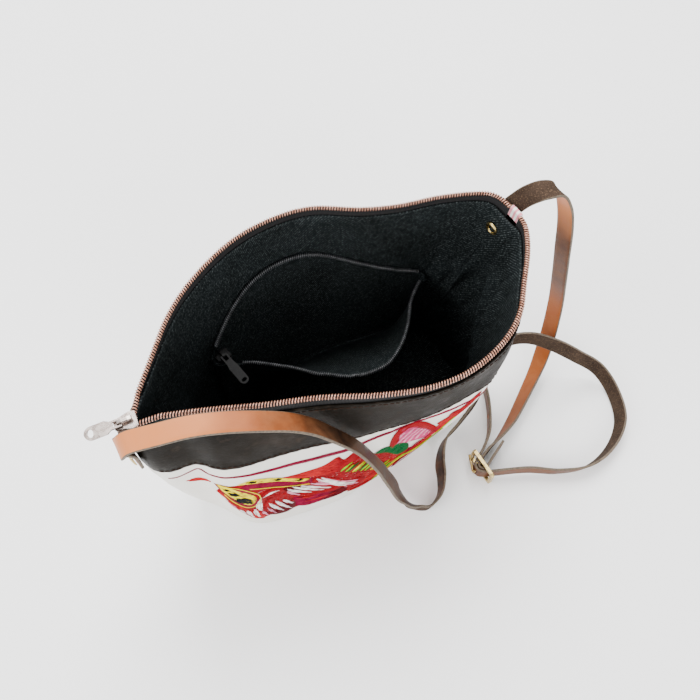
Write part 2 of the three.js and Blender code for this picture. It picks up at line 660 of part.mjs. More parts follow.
// Pull: a flat plate with a slot for the crown and a large oval hole in its free end;
// it lies along +X from the axis of its hinge, which is the origin
function pullPlate(length, width, holeShare) {
  const shape = new THREE.Shape();
  const slotWidth = CROWN_WIDTH + 2 * GAP;
  const neck = slotWidth + 2 * CROWN_WALL;
  const barBack = -CROWN_WALL / 2;
  const round = width / 2;
  shape.moveTo(barBack, -neck / 2);
  shape.lineTo(length * 0.28, -neck / 2);
  shape.lineTo(length * 0.4, -round);
  shape.lineTo(length - round, -round);
  shape.absarc(length - round, 0, round, -Math.PI / 2, Math.PI / 2, false);
  shape.lineTo(length * 0.4, round);
  shape.lineTo(length * 0.28, neck / 2);
  shape.lineTo(barBack, neck / 2);
  const slot = new THREE.Path();
  const slotEnd = CROWN_WALL / 2 + CROWN_WALL + 2 * GAP + CROWN_LENGTH * 0.2;
  slot.moveTo(CROWN_WALL / 2, -slotWidth / 2);
  slot.lineTo(CROWN_WALL / 2, slotWidth / 2);
  slot.lineTo(slotEnd, slotWidth / 2);
  slot.lineTo(slotEnd, -slotWidth / 2);
  shape.holes.push(slot);
  const hole = new THREE.Path();
  hole.absellipse(length - width * 0.44, 0, width * 0.2, width * holeShare, 0, 2 * Math.PI, true);
  shape.holes.push(hole);
  const geometry = new THREE.ExtrudeGeometry(shape,
    { depth: PULL_THICKNESS, bevelEnabled: false, curveSegments: 7 });
  return geometry.translate(0, 0, -PULL_THICKNESS / 2);
}

addPart('zip_slider', sliderWithCrown(SLIDER_LENGTH, SLIDER_WIDTH, SLIDER_SLOT, CROWN_LENGTH),
  'nickel', sliderGroup);
const crownRoom = CROWN_HEIGHT - CROWN_WALL;
const pullAxisX = CROWN_LENGTH / 2 - CROWN_WALL - GAP - CROWN_WALL / 2;
const pullAxisZ = SLIDER_SLOT / 2 + SLIDER_PLATE + crownRoom / 2;
const pull = addPart('zip_pull', pullPlate(PULL_LENGTH, PULL_WIDTH, PULL_HOLE), 'nickel', sliderGroup);
pull.position.set(pullAxisX, 0, pullAxisZ);

// Inner pocket: a pouch on the back of the lining, its free lip fallen open

const pocketLow = POCKET_LIP - POCKET_DEPTH;
const pocketWallOffset = liningIn - POCKET_STANDOFF;
const pocketAround = (share) => POCKET_LEFT + (POCKET_RIGHT - POCKET_LEFT) * share;

// A column of the lip's table, smooth from row to row
function lipShape(share, column) {
  const last = POCKET_LIP_SHAPE.length - 1;
  const after = POCKET_LIP_SHAPE.findIndex((row) => row.along >= share);
  const right = Math.max(after < 0 ? last : after, 1);
  const at = (k) => {
    const row = POCKET_LIP_SHAPE[Math.min(Math.max(k, 0), last)];
    return { x: row.along, y: row[column] };
  };
  return smoothStep([at(right - 2), at(right - 1), at(right), at(right + 1)], share);
}

const pocketLip = (share) => POCKET_LIP + (POCKET_FAR_LIP - POCKET_LIP) * share;

function pocketWallPoint(share, level, off) {
  const lip = pocketLip(share) + POCKET_LIP_RISE * Math.sin(Math.PI * share ** POCKET_LIP_LEAN);
  const z = pocketLow + level * (lip - pocketLow);
  return wall(pocketAround(share), z, pocketWallOffset - off, true);
}

function pocketFreePoint(share, level, off) {
  const lip = pocketLip(share) - lipShape(share, 'sag') * POCKET_DEPTH;
  const z = pocketLow + level * (lip - pocketLow);
  const open = POCKET_OPENING * lipShape(share, 'open') * level ** POCKET_SWELL;
  return wall(pocketAround(share), z, pocketWallOffset - POCKET_SLACK - open + off, true);
}

function pocketPouch() {
  const steps = POCKET_STEPS;
  const ring = (level, skin) => {
    const inset = skin * POCKET_END_INSET;
    const off = skin * POCKET_CLOTH;
    const at = (k) => inset + (1 - 2 * inset) * k / steps;
    const corner = (share) => pocketWallPoint(share, level, POCKET_SLACK / 2);
    const free = Array.from({ length: steps - 1 }, (_, k) => pocketFreePoint(at(k + 1), level, off));
    const held = Array.from({ length: steps - 1 }, (_, k) =>
      pocketWallPoint(at(steps - 1 - k), level, off));
    return [corner(inset), ...free, corner(1 - inset), ...held];
  };
  const levels = levelsBetween(0, 1, 5);
  const innerLevels = levels.map((level) => Math.max(level, POCKET_CLOTH / POCKET_DEPTH));
  return sheet(levels.map((level) => ring(level, 0)), innerLevels.map((level) => ring(level, 1)),
    { closed: true, floor: true });
}
addPart('pocket_pouch', pocketPouch(), 'lining');

function pocketBead(start, pointAt) {
  const line = Array.from({ length: POCKET_BEAD_STEPS + 1 }, (_, k) => {
    const share = start + (POCKET_TEETH_END - start) * k / POCKET_BEAD_STEPS;
    const at = pointAt(share);
    const ahead = pointAt(share + 0.01).sub(at);
    at.z += POCKET_TEETH / 2 + GAP;
    return { at, out: new THREE.Vector3(ahead.y, -ahead.x, 0).normalize() };
  });
  return bead(line, POCKET_TEETH, POCKET_TEETH);
}
const wallTeethOff = POCKET_TEETH / 2 + GAP;
addPart('pocket_teeth_wall', pocketBead(POCKET_WALL_TEETH_START,
  (share) => pocketWallPoint(share, 1, wallTeethOff)), 'blackZip');
addPart('pocket_teeth_lip', pocketBead(POCKET_LIP_TEETH_START,
  (share) => pocketFreePoint(share, 1, POCKET_CLOTH / 2)), 'blackZip');

const pocketYaw = THREE.MathUtils.degToRad(POCKET_SLIDER_YAW);
const pocketSliderOff = POCKET_SLIDER_WIDTH / 2 + 8 * GAP
  + Math.abs(Math.sin(pocketYaw)) * POCKET_SLIDER_LENGTH / 2;
const pocketSpan = girth * (POCKET_LEFT - POCKET_RIGHT);
const pocketSliderShare = (POCKET_SLIDER_LENGTH / 2 + POCKET_TEETH) / pocketSpan;
const pocketCorner = pocketWallPoint(pocketSliderShare, 1, pocketSliderOff);
const pocketRun = pocketWallPoint(pocketSliderShare + 0.02, 1, pocketSliderOff).sub(pocketCorner);
const pocketSliderGroup = new THREE.Group();
pocketSliderGroup.position.copy(pocketCorner);
pocketSliderGroup.position.z = POCKET_LIP + POCKET_SLOT / 2 + SLIDER_PLATE + 10 * GAP;
pocketSliderGroup.rotation.z = Math.atan2(pocketRun.y, pocketRun.x) + Math.PI + pocketYaw;
root.add(pocketSliderGroup);

function pocketSlider() {
  const body = sliderBody(POCKET_SLIDER_LENGTH, POCKET_SLIDER_WIDTH, SLIDER_PLATE, POCKET_SLOT);
  const arch = crown(POCKET_CROWN, CROWN_HEIGHT, CROWN_WALL, CROWN_WIDTH);
  arch.rotateZ(Math.PI / 2);
  arch.translate(0, 0, POCKET_SLOT / 2 + SLIDER_PLATE - CROWN_SINK);
  return join(body, arch);
}
addPart('pocket_slider', pocketSlider(), 'blackZip', pocketSliderGroup);
const pocketPull = addPart('pocket_pull', pullPlate(POCKET_PULL_LENGTH,
  POCKET_PULL_WIDTH, POCKET_PULL_HOLE), 'blackZip', pocketSliderGroup);
const pocketAxisY = POCKET_CROWN / 2 - CROWN_WALL - GAP - CROWN_WALL / 2;
pocketPull.position.set(0, pocketAxisY, POCKET_SLOT / 2 + SLIDER_PLATE + crownRoom / 2);
pocketPull.rotation.order = 'ZYX';
pocketPull.rotation.set(0, THREE.MathUtils.degToRad(POCKET_PULL_DROP), Math.PI / 2);

// Straps: a flat band swept along its route, its width held in the given directions

function routePoint(row) {
  const width = new THREE.Vector3(...row.width).normalize();
  const rise = Math.abs(width.z) * STRAP_WIDTH / 2
    + Math.sqrt(1 - width.z ** 2) * STRAP_THICKNESS / 2 + GAP;
  const at = new THREE.Vector3(row.along * MOUTH_LENGTH / 2, row.across * MOUTH_OPENING / 2,
    row.lift * HEIGHT + rise);
  return { at, width };
}

const strapOffset = LEATHER_PROUD + STRAP_STANDOFF + STRAP_THICKNESS / 2;
function seamPoint(around, level) {
  const normal = outward(around, level);
  const at = wall(around, level * HEIGHT, strapOffset);
  return { at, width: new THREE.Vector3(normal.y, -normal.x, 0) };
}

function band(route, stepsPerRow = 2) {
  const curve = new THREE.CatmullRomCurve3(route.map((p) => p.at), false, 'centripetal');
  const widths = new THREE.CatmullRomCurve3(route.map((p) => p.width), false, 'centripetal');
  const count = (route.length - 1) * stepsPerRow;
  const rings = Array.from({ length: count + 1 }, (_, k) => {
    const at = curve.getPoint(k / count);
    const along = curve.getTangent(k / count);
    const width = widths.getPoint(k / count);
    width.addScaledVector(along, -width.dot(along)).normalize();
    const grain = along.clone().cross(width);
    return [[-1, -1], [1, -1], [1, 1], [-1, 1]].map(([w, n]) => at.clone()
      .addScaledVector(width, w * STRAP_WIDTH / 2)
      .addScaledVector(grain, n * STRAP_THICKNESS / 2));
  });
  const triangles = [];
  const quad = (a, b, c, d) => triangles.push(a, b, c, a, c, d);
  for (let r = 0; r < count; r += 1) {
    for (let k = 0; k < 4; k += 1) {
      const next = (k + 1) % 4;
      quad(r * 4 + k, r * 4 + next, r * 4 + 4 + next, r * 4 + 4 + k);
    }
  }
  quad(3, 2, 1, 0);
  quad(count * 4, count * 4 + 1, count * 4 + 2, count * 4 + 3);
  return geometryFrom(rings.flat(), triangles);
}

// Buckle: an upright frame with a middle bar; the short strap is folded round that bar,
// and the long strap goes in by one side of it and out by the other

const buckleHeight = STRAP_WIDTH + 2 * (BUCKLE_WIRE + BUCKLE_CLEARANCE);
const buckleX = BUCKLE_AT.along * MOUTH_LENGTH / 2;
const buckleY = BUCKLE_AT.across * MOUTH_OPENING / 2;
const buckleZ = buckleHeight / 2 + GAP;
const foldRadius = BUCKLE_WIRE * Math.SQRT1_2 + GAP + STRAP_THICKNESS / 2;
const turnRadius = foldRadius + STRAP_THICKNESS + 2 * GAP;
const foldSlope = THREE.MathUtils.degToRad(FOLD_SLOPE);

function roundBar(turn, radius, width) {
  const at = new THREE.Vector3(buckleX + radius * Math.cos(turn), buckleY + radius * Math.sin(turn),
    buckleZ);
  return { at, width: new THREE.Vector3(0, 0, width) };
}

function lane(side, reach, width) {
  const start = roundBar(foldSlope + side * Math.PI / 2, foldRadius, width);
  start.at.x += Math.cos(foldSlope) * reach;
  start.at.y += Math.sin(foldSlope) * reach;
  return start;
}

const turnFrom = -Math.PI / 2 - foldSlope;
const turnTo = -1.5 * Math.PI + foldSlope;
const longTurn = [0, 0.25, 0.5, 0.75, 1].map((part) =>
  roundBar(turnFrom + (turnTo - turnFrom) * part, turnRadius, -1));
const foldTurn = [0, 0.25, 0.5, 0.75, 1].map((part) =>
  roundBar(foldSlope + Math.PI / 2 + Math.PI * part, foldRadius, 1));

const longRoute = [...LEFT_STRAP_ROOT.map((level) => seamPoint(0, level)), ...LONG_STRAP.map(routePoint),
  ...longTurn, ...STRAP_TAIL.map(routePoint)];
const shortRoute = [...RIGHT_STRAP_ROOT.map((level) => seamPoint(0.5 + RIVET_OFF_SEAM, level)),
  ...SHORT_STRAP.map(routePoint), lane(1, FOLD_BACK / 2, 1), ...foldTurn,
  lane(-1, FOLD_BACK / 2, 1), lane(-1, FOLD_BACK, 1)];

// Round pin along a line from one point to another
function pin(from, to, radius, sides = 10) {
  const run = to.clone().sub(from);
  const geometry = new THREE.CylinderGeometry(radius, radius, run.length(), sides);
  geometry.applyQuaternion(new THREE.Quaternion().setFromUnitVectors(
    new THREE.Vector3(0, 1, 0), run.clone().normalize()));
  const middle = from.clone().add(to).multiplyScalar(0.5);
  return geometry.translate(middle.x, middle.y, middle.z);
}

const prongReach = turnRadius + STRAP_THICKNESS / 2 + PRONG_RADIUS + 2 * GAP;
const prongRoot = new THREE.Vector3(buckleX - BUCKLE_WIRE / 2 - GAP, buckleY, buckleZ);
const prongBend = new THREE.Vector3(buckleX - prongReach, buckleY, buckleZ);
const prongTip = new THREE.Vector3(buckleX - BUCKLE_WIRE / 2 - GAP - PRONG_RADIUS,
  buckleY + BUCKLE_LENGTH / 2, buckleZ);
const prongHole = pin(new THREE.Vector3(buckleX, buckleY, buckleZ),
  prongBend.clone().setX(prongBend.x - HOLE_RADIUS), HOLE_RADIUS);

function tailHole(row) {
  const { at } = routePoint(row);
  const across = new THREE.Vector3(STRAP_THICKNESS * 2, -STRAP_THICKNESS, 0);
  return pin(at.clone().sub(across), at.clone().add(across), HOLE_RADIUS);
}
const holeRows = STRAP_TAIL.filter((_, k) => k === 2 || k === 4);
addPart('strap_long', cut(band(longRoute), prongHole, ...holeRows.map(tailHole)), 'strapLeather');
addPart('strap_short', cut(band(shortRoute), prongHole), 'strapLeather');

function buckleFrame() {
  const half = BUCKLE_LENGTH / 2;
  const high = buckleHeight / 2;
  const corner = BUCKLE_WIRE;
  const face = new THREE.Shape();
  face.moveTo(0, -high);
  face.lineTo(half - corner, -high);
  face.quadraticCurveTo(half, -high, half, -high + corner);
  face.lineTo(half, high - corner);
  face.quadraticCurveTo(half, high, half - corner, high);
  face.lineTo(-half + corner, high);
  face.quadraticCurveTo(-half, high, -half, high - corner);
  face.lineTo(-half, -high + corner);
  face.quadraticCurveTo(-half, -high, -half + corner, -high);
  const plate = new THREE.ExtrudeGeometry(face,
    { depth: BUCKLE_WIRE, bevelEnabled: false, curveSegments: 4 });
  plate.translate(0, 0, -BUCKLE_WIRE / 2);
  const slotLength = half - BUCKLE_WIRE * 1.5;
  const slotHeight = 2 * (high - BUCKLE_WIRE);
  const slots = [-1, 1].map((side) => {
    const slot = new THREE.BoxGeometry(slotLength, slotHeight, BUCKLE_WIRE * 2);
    return slot.translate(side * (BUCKLE_WIRE / 2 + slotLength / 2), 0, 0);
  });
  const geometry = cut(plate, ...slots);
  geometry.rotateX(Math.PI / 2);
  geometry.rotateZ(Math.PI / 2);
  return geometry.translate(buckleX, buckleY, buckleZ);
}
addPart('buckle_frame', buckleFrame(), 'brass');

const knuckle = new THREE.SphereGeometry(PRONG_RADIUS, 10, 6);
knuckle.translate(prongBend.x, prongBend.y, prongBend.z);
addPart('buckle_prong', join(pin(prongRoot, prongBend, PRONG_RADIUS), knuckle,
  pin(prongBend, prongTip, PRONG_RADIUS)), 'brass');

// Turned pieces set square on the wall: the eyelet inside and the domed caps outside

function turned(profile, around, level, out, loose) {
  const points = profile.map(([radius, height]) => new THREE.Vector2(radius, height));
  const geometry = new THREE.LatheGeometry(points, 20);
  const normal = outward(around, level);
  geometry.applyQuaternion(new THREE.Quaternion().setFromUnitVectors(
    new THREE.Vector3(0, 1, 0), new THREE.Vector3(normal.x, normal.y, 0)));
  const at = wall(around, level * HEIGHT, out, loose);
  return geometry.translate(at.x, at.y, at.z);
}

const eyeletRing = [
  [EYELET_BORE, 0], [EYELET_RADIUS, 0], [EYELET_RADIUS * 0.85, -EYELET_DEPTH * 0.7],
  [EYELET_RADIUS * 0.65, -EYELET_DEPTH], [EYELET_BORE, -EYELET_DEPTH * 0.6], [EYELET_BORE, 0],
].reverse();
const capDome = [
  [0, 0], [CAP_RADIUS, 0], [CAP_RADIUS * 0.9, CAP_HEIGHT * 0.6], [CAP_RADIUS * 0.5, CAP_HEIGHT],
  [0, CAP_HEIGHT],
];
const capOut = strapOffset + STRAP_THICKNESS / 2 + 2 * GAP;
const rightAround = 0.5 + RIVET_OFF_SEAM;
addPart('eyelet', turned(eyeletRing, rightAround, RIVET_LEVEL, liningIn - EYELET_STANDOFF, true), 'brass');
addPart('rivet_cap_right', turned(capDome, rightAround, RIVET_LEVEL, capOut, false), 'brass');
addPart('rivet_cap_left', turned(capDome, 0, LEFT_RIVET_LEVEL, capOut, false), 'brass');

export default root;
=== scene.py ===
# Looks of the open embroidered purse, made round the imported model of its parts.
# Sizes are in millimetres until a mesh is made. The wall, zip, pocket and straps follow
# the same named sizes and tables as the part's source.

import math

import bmesh
import bpy
import numpy as np
from mathutils import Matrix, Vector


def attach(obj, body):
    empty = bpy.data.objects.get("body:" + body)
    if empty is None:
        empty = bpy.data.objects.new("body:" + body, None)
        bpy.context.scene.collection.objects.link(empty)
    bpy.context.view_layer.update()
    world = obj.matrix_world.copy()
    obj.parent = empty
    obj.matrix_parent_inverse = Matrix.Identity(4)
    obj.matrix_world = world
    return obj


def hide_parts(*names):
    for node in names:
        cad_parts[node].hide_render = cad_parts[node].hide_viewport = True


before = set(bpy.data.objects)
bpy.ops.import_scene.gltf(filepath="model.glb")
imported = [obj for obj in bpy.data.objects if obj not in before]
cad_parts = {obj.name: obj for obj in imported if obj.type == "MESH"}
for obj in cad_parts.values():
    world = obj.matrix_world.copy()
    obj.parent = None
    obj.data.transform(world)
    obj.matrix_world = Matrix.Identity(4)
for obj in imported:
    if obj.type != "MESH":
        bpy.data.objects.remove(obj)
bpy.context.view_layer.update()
rng = np.random.default_rng(11)
MM = 0.001

# Sizes of the bag

MOUTH_LENGTH = 252.0
MOUTH_OPENING = 140.0
HEIGHT = 182.0
BASE_LENGTH = 206.0
BASE_WIDTH = 80.0
BASE_CORNER = 22.0
BASE_EDGE = 5.0
BAND_HEIGHT = 60.0
BAND_DROP = 7.0
GAP = 0.3
LEATHER = 1.6
CLOTH = 1.4
LINING = 1.2
TAPE = 1.0
LEATHER_PROUD = 0.6
BASE_PLATE = 1.6

TAPE_HEIGHT = 14.0
TEETH_WIDTH = 3.4
TEETH_HEIGHT = 2.6
TEETH_START = 0.03
TEETH_PITCH = 1.6
TAB_LENGTH = 9.0

POCKET_LEFT = 0.872
POCKET_RIGHT = 0.5825
POCKET_DEPTH = 78.0
POCKET_LIP = 107.0
POCKET_FAR_LIP = 99.0
POCKET_LIP_RISE = 40.0
POCKET_LIP_LEAN = 0.8
POCKET_OPENING = 64.0
POCKET_SLACK = 3.4
POCKET_CLOTH = 1.0
POCKET_STANDOFF = 0.9
POCKET_TEETH = 2.8
POCKET_WALL_TEETH_START = 0.045
POCKET_LIP_TEETH_START = 0.085
POCKET_TEETH_END = 0.96
POCKET_PITCH = 1.35
POCKET_SWELL = 1.25
POCKET_END_INSET = 0.012

STRAP_WIDTH = 12.5
STRAP_THICKNESS = 1.8
STRAP_STANDOFF = 0.8
HOLE_RADIUS = 1.6
BUCKLE_WIRE = 2.4
BUCKLE_CLEARANCE = 0.5
BUCKLE_LENGTH = 24.0
BUCKLE_ALONG = 0.563
BUCKLE_ACROSS = -1.243
FOLD_BACK = 24.0
FOLD_SLOPE = 23.0
PRONG_RADIUS = 1.0

EYELET_RADIUS = 4.6
EYELET_BORE = 2.2
EYELET_DEPTH = 1.6
EYELET_STANDOFF = 0.9
RIVET_LEVEL = 0.9
LEFT_RIVET_LEVEL = 0.77
RIVET_OFF_SEAM = 0.012
LEFT_STRAP_ROOT = (0.74, 0.82)
RIGHT_STRAP_ROOT = (0.78, 0.95)
CAP_RADIUS = 4.2
CAP_HEIGHT = 1.5

# Mouth outline: along, share of half the length; across, share of half the opening

FRONT_RIM = [
    (-1.0, 0.0), (-0.72, -0.215), (-0.48, -0.425), (-0.26, -0.6), (-0.04, -0.82),
    (0.16, -0.97), (0.35, -1.02), (0.546, -0.96), (0.7, -0.82), (0.82, -0.6),
    (0.935, -0.37), (1.005, -0.165), (1.015, 0.0),
]
BACK_RIM = [
    (1.015, 0.0), (0.995, 0.21), (0.93, 0.335), (0.755, 0.483), (0.565, 0.59),
    (0.4, 0.73), (0.2, 0.963), (0.0, 1.042), (-0.216, 1.02), (-0.438, 0.882),
    (-0.617, 0.69), (-0.782, 0.42), (-0.934, 0.14), (-1.0, 0.0),
]

# How far the wall stands out: around, then at the band's seam and at the base
WALL_SHAPE = [
    (0.0, 0.14, 0.03), (0.018, 0.125, 0.02), (0.043, 0.05, -0.05), (0.07, 0.085, -0.055),
    (0.125, 0.042, 0.055), (0.195, 0.03, 0.155), (0.24, 0.01, 0.15), (0.28, 0.02, 0.13),
    (0.33, 0.06, 0.1), (0.36, 0.1, 0.075), (0.39, 0.045, 0.03), (0.42, -0.02, 0.0),
    (0.5, 0.0, 0.0), (0.6, 0.0, 0.0), (0.74, 0.06, 0.06), (0.9, 0.0, 0.02),
    (0.97, 0.09, 0.03),
]

# Dents and lining folds: around, level, push, span around, span of level, slant
DENTS = [
    (0.3, 0.35, -0.03, 0.06, 0.16, 0.0), (0.94, 0.55, -0.05, 0.03, 0.3, 0.0),
]
LINING_FOLDS = [
    (0.435, 0.5, 0.07, 0.014, 0.34, 0.05), (0.475, 0.62, 0.08, 0.013, 0.3, 0.06),
    (0.53, 0.6, 0.09, 0.014, 0.3, -0.05), (0.565, 0.45, 0.06, 0.016, 0.3, -0.04),
    (0.2, 0.35, 0.05, 0.03, 0.3, 0.03), (0.955, 0.5, 0.05, 0.016, 0.3, 0.02),
]

# Lower lip of the pocket: along the lip, share of the opening, share of the depth it sags
POCKET_LIP_SHAPE = [
    (0.0, 0.03, 0.0), (0.1, 0.245, 0.02), (0.2, 0.5, 0.042), (0.31, 0.75, 0.063),
    (0.43, 0.925, 0.078), (0.55, 0.99, 0.079), (0.66, 0.97, 0.067), (0.73, 0.89, 0.055),
    (0.79, 0.73, 0.043), (0.845, 0.49, 0.032), (0.885, 0.255, 0.024), (0.95, 0.075, 0.009),
    (1.0, 0.03, 0.0),
]

# Routes of the straps: along, across, lift, and the direction of the width
LONG_STRAP = [
    (-1.055, -0.07, 0.92, (0.04, 1, 0.05)), (-1.065, -0.15, 0.99, (0.08, 1, 0.05)),
    (-1.02, -0.2, 1.045, (0.12, 1, 0.05)), (-0.91, -0.27, 1.06, (0.2, 1, 0.03)),
    (-0.78, -0.34, 1.06, (0.25, 1, 0)), (-0.65, -0.43, 1.045, (0.3, 1, -0.03)),
    (-0.52, -0.54, 1.02, (0.33, 1, -0.12)), (-0.41, -0.62, 0.97, (0.35, 1, -0.25)),
    (-0.33, -0.7, 0.92, (0.38, 0.95, -0.4)), (-0.25, -0.79, 0.83, (0.4, 0.8, -0.6)),
    (-0.17, -0.88, 0.72, (0.42, 0.6, -0.75)), (-0.1, -0.98, 0.57, (0.4, 0.36, -0.85)),
    (-0.04, -1.07, 0.39, (0.36, 0.15, -0.9)), (0.02, -1.16, 0.2, (0.3, 0.02, -0.95)),
    (0.09, -1.25, 0.065, (0.18, 0, -1)), (0.18, -1.305, 0.008, (0.04, 0.1, -1)),
    (0.27, -1.25, 0.006, (-0.16, 0.14, -1)), (0.33, -1.12, 0.008, (-0.5, -0.1, -1)),
    (0.38, -0.96, 0.015, (-0.6, -0.15, -1)), (0.46, -0.82, 0.03, (-0.3, 0, -1)),
    (0.58, -0.755, 0.055, (0, 0.04, -1)), (0.72, -0.67, 0.1, (0, -0.04, -1)),
    (0.84, -0.54, 0.15, (-0.02, -0.1, -1)), (0.94, -0.42, 0.2, (-0.04, -0.16, -1)),
    (1.04, -0.39, 0.235, (-0.06, -0.18, -1)), (1.15, -0.47, 0.235, (-0.08, -0.2, -1)),
    (1.27, -0.62, 0.19, (-0.14, -0.18, -1)), (1.4, -0.81, 0.11, (-0.22, -0.14, -1)),
    (1.51, -1.03, 0.04, (-0.34, -0.02, -1)), (1.52, -1.3, 0.004, (-0.42, 0.14, -1)),
    (1.44, -1.6, 0.004, (-0.34, 0.34, -1)), (1.28, -1.78, 0.004, (-0.1, 0.34, -1)),
    (1.1, -1.82, 0.004, (0, 0.2, -1)), (0.93, -1.7, 0.004, (0, 0.1, -1)),
    (0.78, -1.52, 0.012, (0, 0, -1)),
]
STRAP_TAIL = [
    (0.635, -1.09, 0.012, (0, 0, -1)), (0.72, -0.98, 0.008, (0, 0, -1)),
    (0.785, -0.83, 0.006, (0, 0, -1)), (0.84, -0.66, 0.006, (0, 0, -1)),
    (0.88, -0.49, 0.006, (0, 0, -1)),
]
SHORT_STRAP = [
    (1.045, 0.07, 0.995, (0.2, -1, 0)), (1.07, 0.02, 1.04, (0.12, -1, 0)),
    (1.115, -0.04, 1.07, (0.1, -1, 0)), (1.17, -0.1, 1.07, (0.12, -1, 0)),
    (1.21, -0.155, 1.015, (0.14, -1, 0)), (1.235, -0.215, 0.92, (0.15, -1, 0)),
    (1.262, -0.285, 0.74, (0.15, -1, 0.05)), (1.3, -0.33, 0.56, (0.15, -1, 0.1)),
    (1.33, -0.385, 0.37, (0.2, -1, 0.2)), (1.3, -0.5, 0.18, (0.28, -0.9, 0.4)),
    (1.215, -0.64, 0.03, (0.34, -0.7, 0.62)), (1.05, -0.82, 0.008, (0.33, -0.54, 0.77)),
    (0.87, -1.0, 0.006, (0.26, -0.4, 0.88)), (0.74, -1.09, 0.012, (0.1, -0.16, 1)),
]

# Derived places of the layers

BAND_LOW = HEIGHT - BAND_HEIGHT
BAND_HIGH = HEIGHT - BAND_DROP
SEAM_LEVEL = BAND_LOW / HEIGHT
CLOTH_HIGH = BAND_LOW - GAP
LEATHER_IN = LEATHER_PROUD - LEATHER
TAPE_OUT = LEATHER_IN - GAP
TAPE_IN = TAPE_OUT - TAPE
TAPE_MID = (TAPE_OUT + TAPE_IN) / 2
TAPE_TOP = HEIGHT - TEETH_HEIGHT / 2 - GAP
LINING_OUT = TAPE_IN - GAP
LINING_IN = LINING_OUT - LINING
LINING_TOP = HEIGHT - TEETH_HEIGHT - 3.2
LINING_FLOOR = BASE_PLATE + GAP
POCKET_LOW = POCKET_LIP - POCKET_DEPTH
POCKET_OFFSET = LINING_IN - POCKET_STANDOFF


# Wall of the bag

def spline(points, steps=60):
    """Points of a uniform Catmull-Rom curve through all the given points."""
    p = np.array(points, float)
    q = np.vstack([p[:1], p, p[-1:]])
    t = np.linspace(0, 1, steps, endpoint=False)[:, None]
    parts = []
    for a, b, c, d in zip(q, q[1:], q[2:], q[3:]):
        v0, v1 = (c - a) / 2, (d - b) / 2
        cubic = (2 * b - 2 * c + v0 + v1) * t ** 3
        parts.append(cubic + (3 * c - 3 * b - 2 * v0 - v1) * t ** 2 + v0 * t + b)
    return np.vstack(parts + [p[-1:]])


def by_length(line):
    run = np.r_[0, np.cumsum(np.linalg.norm(np.diff(line, axis=0), axis=1))]
    return run / run[-1], line, run[-1]


def half_base(side):
    x, y, r = BASE_LENGTH / 2, BASE_WIDTH / 2, BASE_CORNER
    start = math.pi if side > 0 else 0.0

    def arc(cx, cy, turn):
        t = np.linspace(turn, turn + math.pi / 2, 24)
        return np.c_[cx + r * np.cos(t), cy + r * np.sin(t)]

    first = arc(-side * (x - r), -side * (y - r), start)
    last = arc(side * (x - r), -side * (y - r), start + math.pi / 2)
    return np.vstack([[(-side * x, 0)], first, last, [(side * x, 0)]])


MOUTH_SCALE = np.array([MOUTH_LENGTH / 2, MOUTH_OPENING / 2])
RIMS = [by_length(spline(np.array(rim) * MOUTH_SCALE)) for rim in (FRONT_RIM, BACK_RIM)]
BASES = [by_length(half_base(1)), by_length(half_base(-1))]
GIRTH = RIMS[0][2] + RIMS[1][2]


def outline(halves, share):
    out = np.zeros(share.shape + (2,))
    for k, (length, line, _) in enumerate(halves):
        here = share <= 0.5 if k == 0 else share > 0.5
        for axis in (0, 1):
            value = np.interp(share * 2 - k, length, line[:, axis])
            out[..., axis] = np.where(here, value, out[..., axis])
    return out


def level_point(around, level):
    share = np.mod(around, 1.0)
    low, high = outline(BASES, share), outline(RIMS, share)
    return low + (high - low) * level[..., None]


def outward(around, level):
    step = 0.004
    run = level_point(around + step, level) - level_point(around - step, level)
    run /= np.linalg.norm(run, axis=-1, keepdims=True)
    return np.stack([run[..., 1], -run[..., 0]], -1)


def smooth_column(column, share):
    x = np.array([row[0] for row in WALL_SHAPE])
    y = np.array([row[column] for row in WALL_SHAPE])
    return smooth_steps(np.r_[x - 1, x, x + 1, x + 2], np.tile(y, 4), share)


def smooth_steps(x, y, share):
    """Smooth values through rows at places x, the first and last of which only steer."""
    i = np.clip(np.searchsorted(x, share, side="right") - 1, 1, len(x) - 3)
    span = x[i + 1] - x[i]
    here = (y[i + 1] - y[i - 1]) / (x[i + 1] - x[i - 1]) * span
    after = (y[i + 2] - y[i]) / (x[i + 2] - x[i]) * span
    t = (share - x[i]) / span
    return (y[i] * (2 * t ** 3 - 3 * t ** 2 + 1) + here * (t ** 3 - 2 * t ** 2 + t)
            + y[i + 1] * (3 * t ** 2 - 2 * t ** 3) + after * (t ** 3 - t ** 2))


def bells(rows, share, level):
    total = np.zeros(share.shape)
    for around, height, push, span_around, span_level, slant in rows:
        away = np.abs(share - around - slant * (level - height))
        away = np.minimum(away, 1 - away)
        bell = np.exp(-(away / span_around) ** 2 - ((level - height) / span_level) ** 2)
        total += push * BASE_WIDTH * bell
    return total


def wall(around, z, out, loose=False):
    """Points of the wall in millimetres, for arrays that broadcast together."""
    around, z, out = np.broadcast_arrays(*(np.asarray(v, float) for v in (around, z, out)))
    share, level = np.mod(around, 1.0), z / HEIGHT
    low = np.minimum(z, BASE_EDGE)
    edge = BASE_EDGE - np.sqrt(np.maximum(BASE_EDGE ** 2 - (BASE_EDGE - low) ** 2, 0))
    at_seam = level * (1 - level) / (SEAM_LEVEL * (1 - SEAM_LEVEL))
    at_base = (1 - level) ** 2
    swell = at_seam * smooth_column(1, share) + at_base * smooth_column(2, share)
    shift = out - edge + BASE_WIDTH * swell + bells(DENTS, share, level)
    if loose:
        shift = shift - bells(LINING_FOLDS, share, level)
    flat = level_point(share, level) + outward(share, level) * shift[..., None]
    return np.concatenate([flat, z[..., None]], -1)


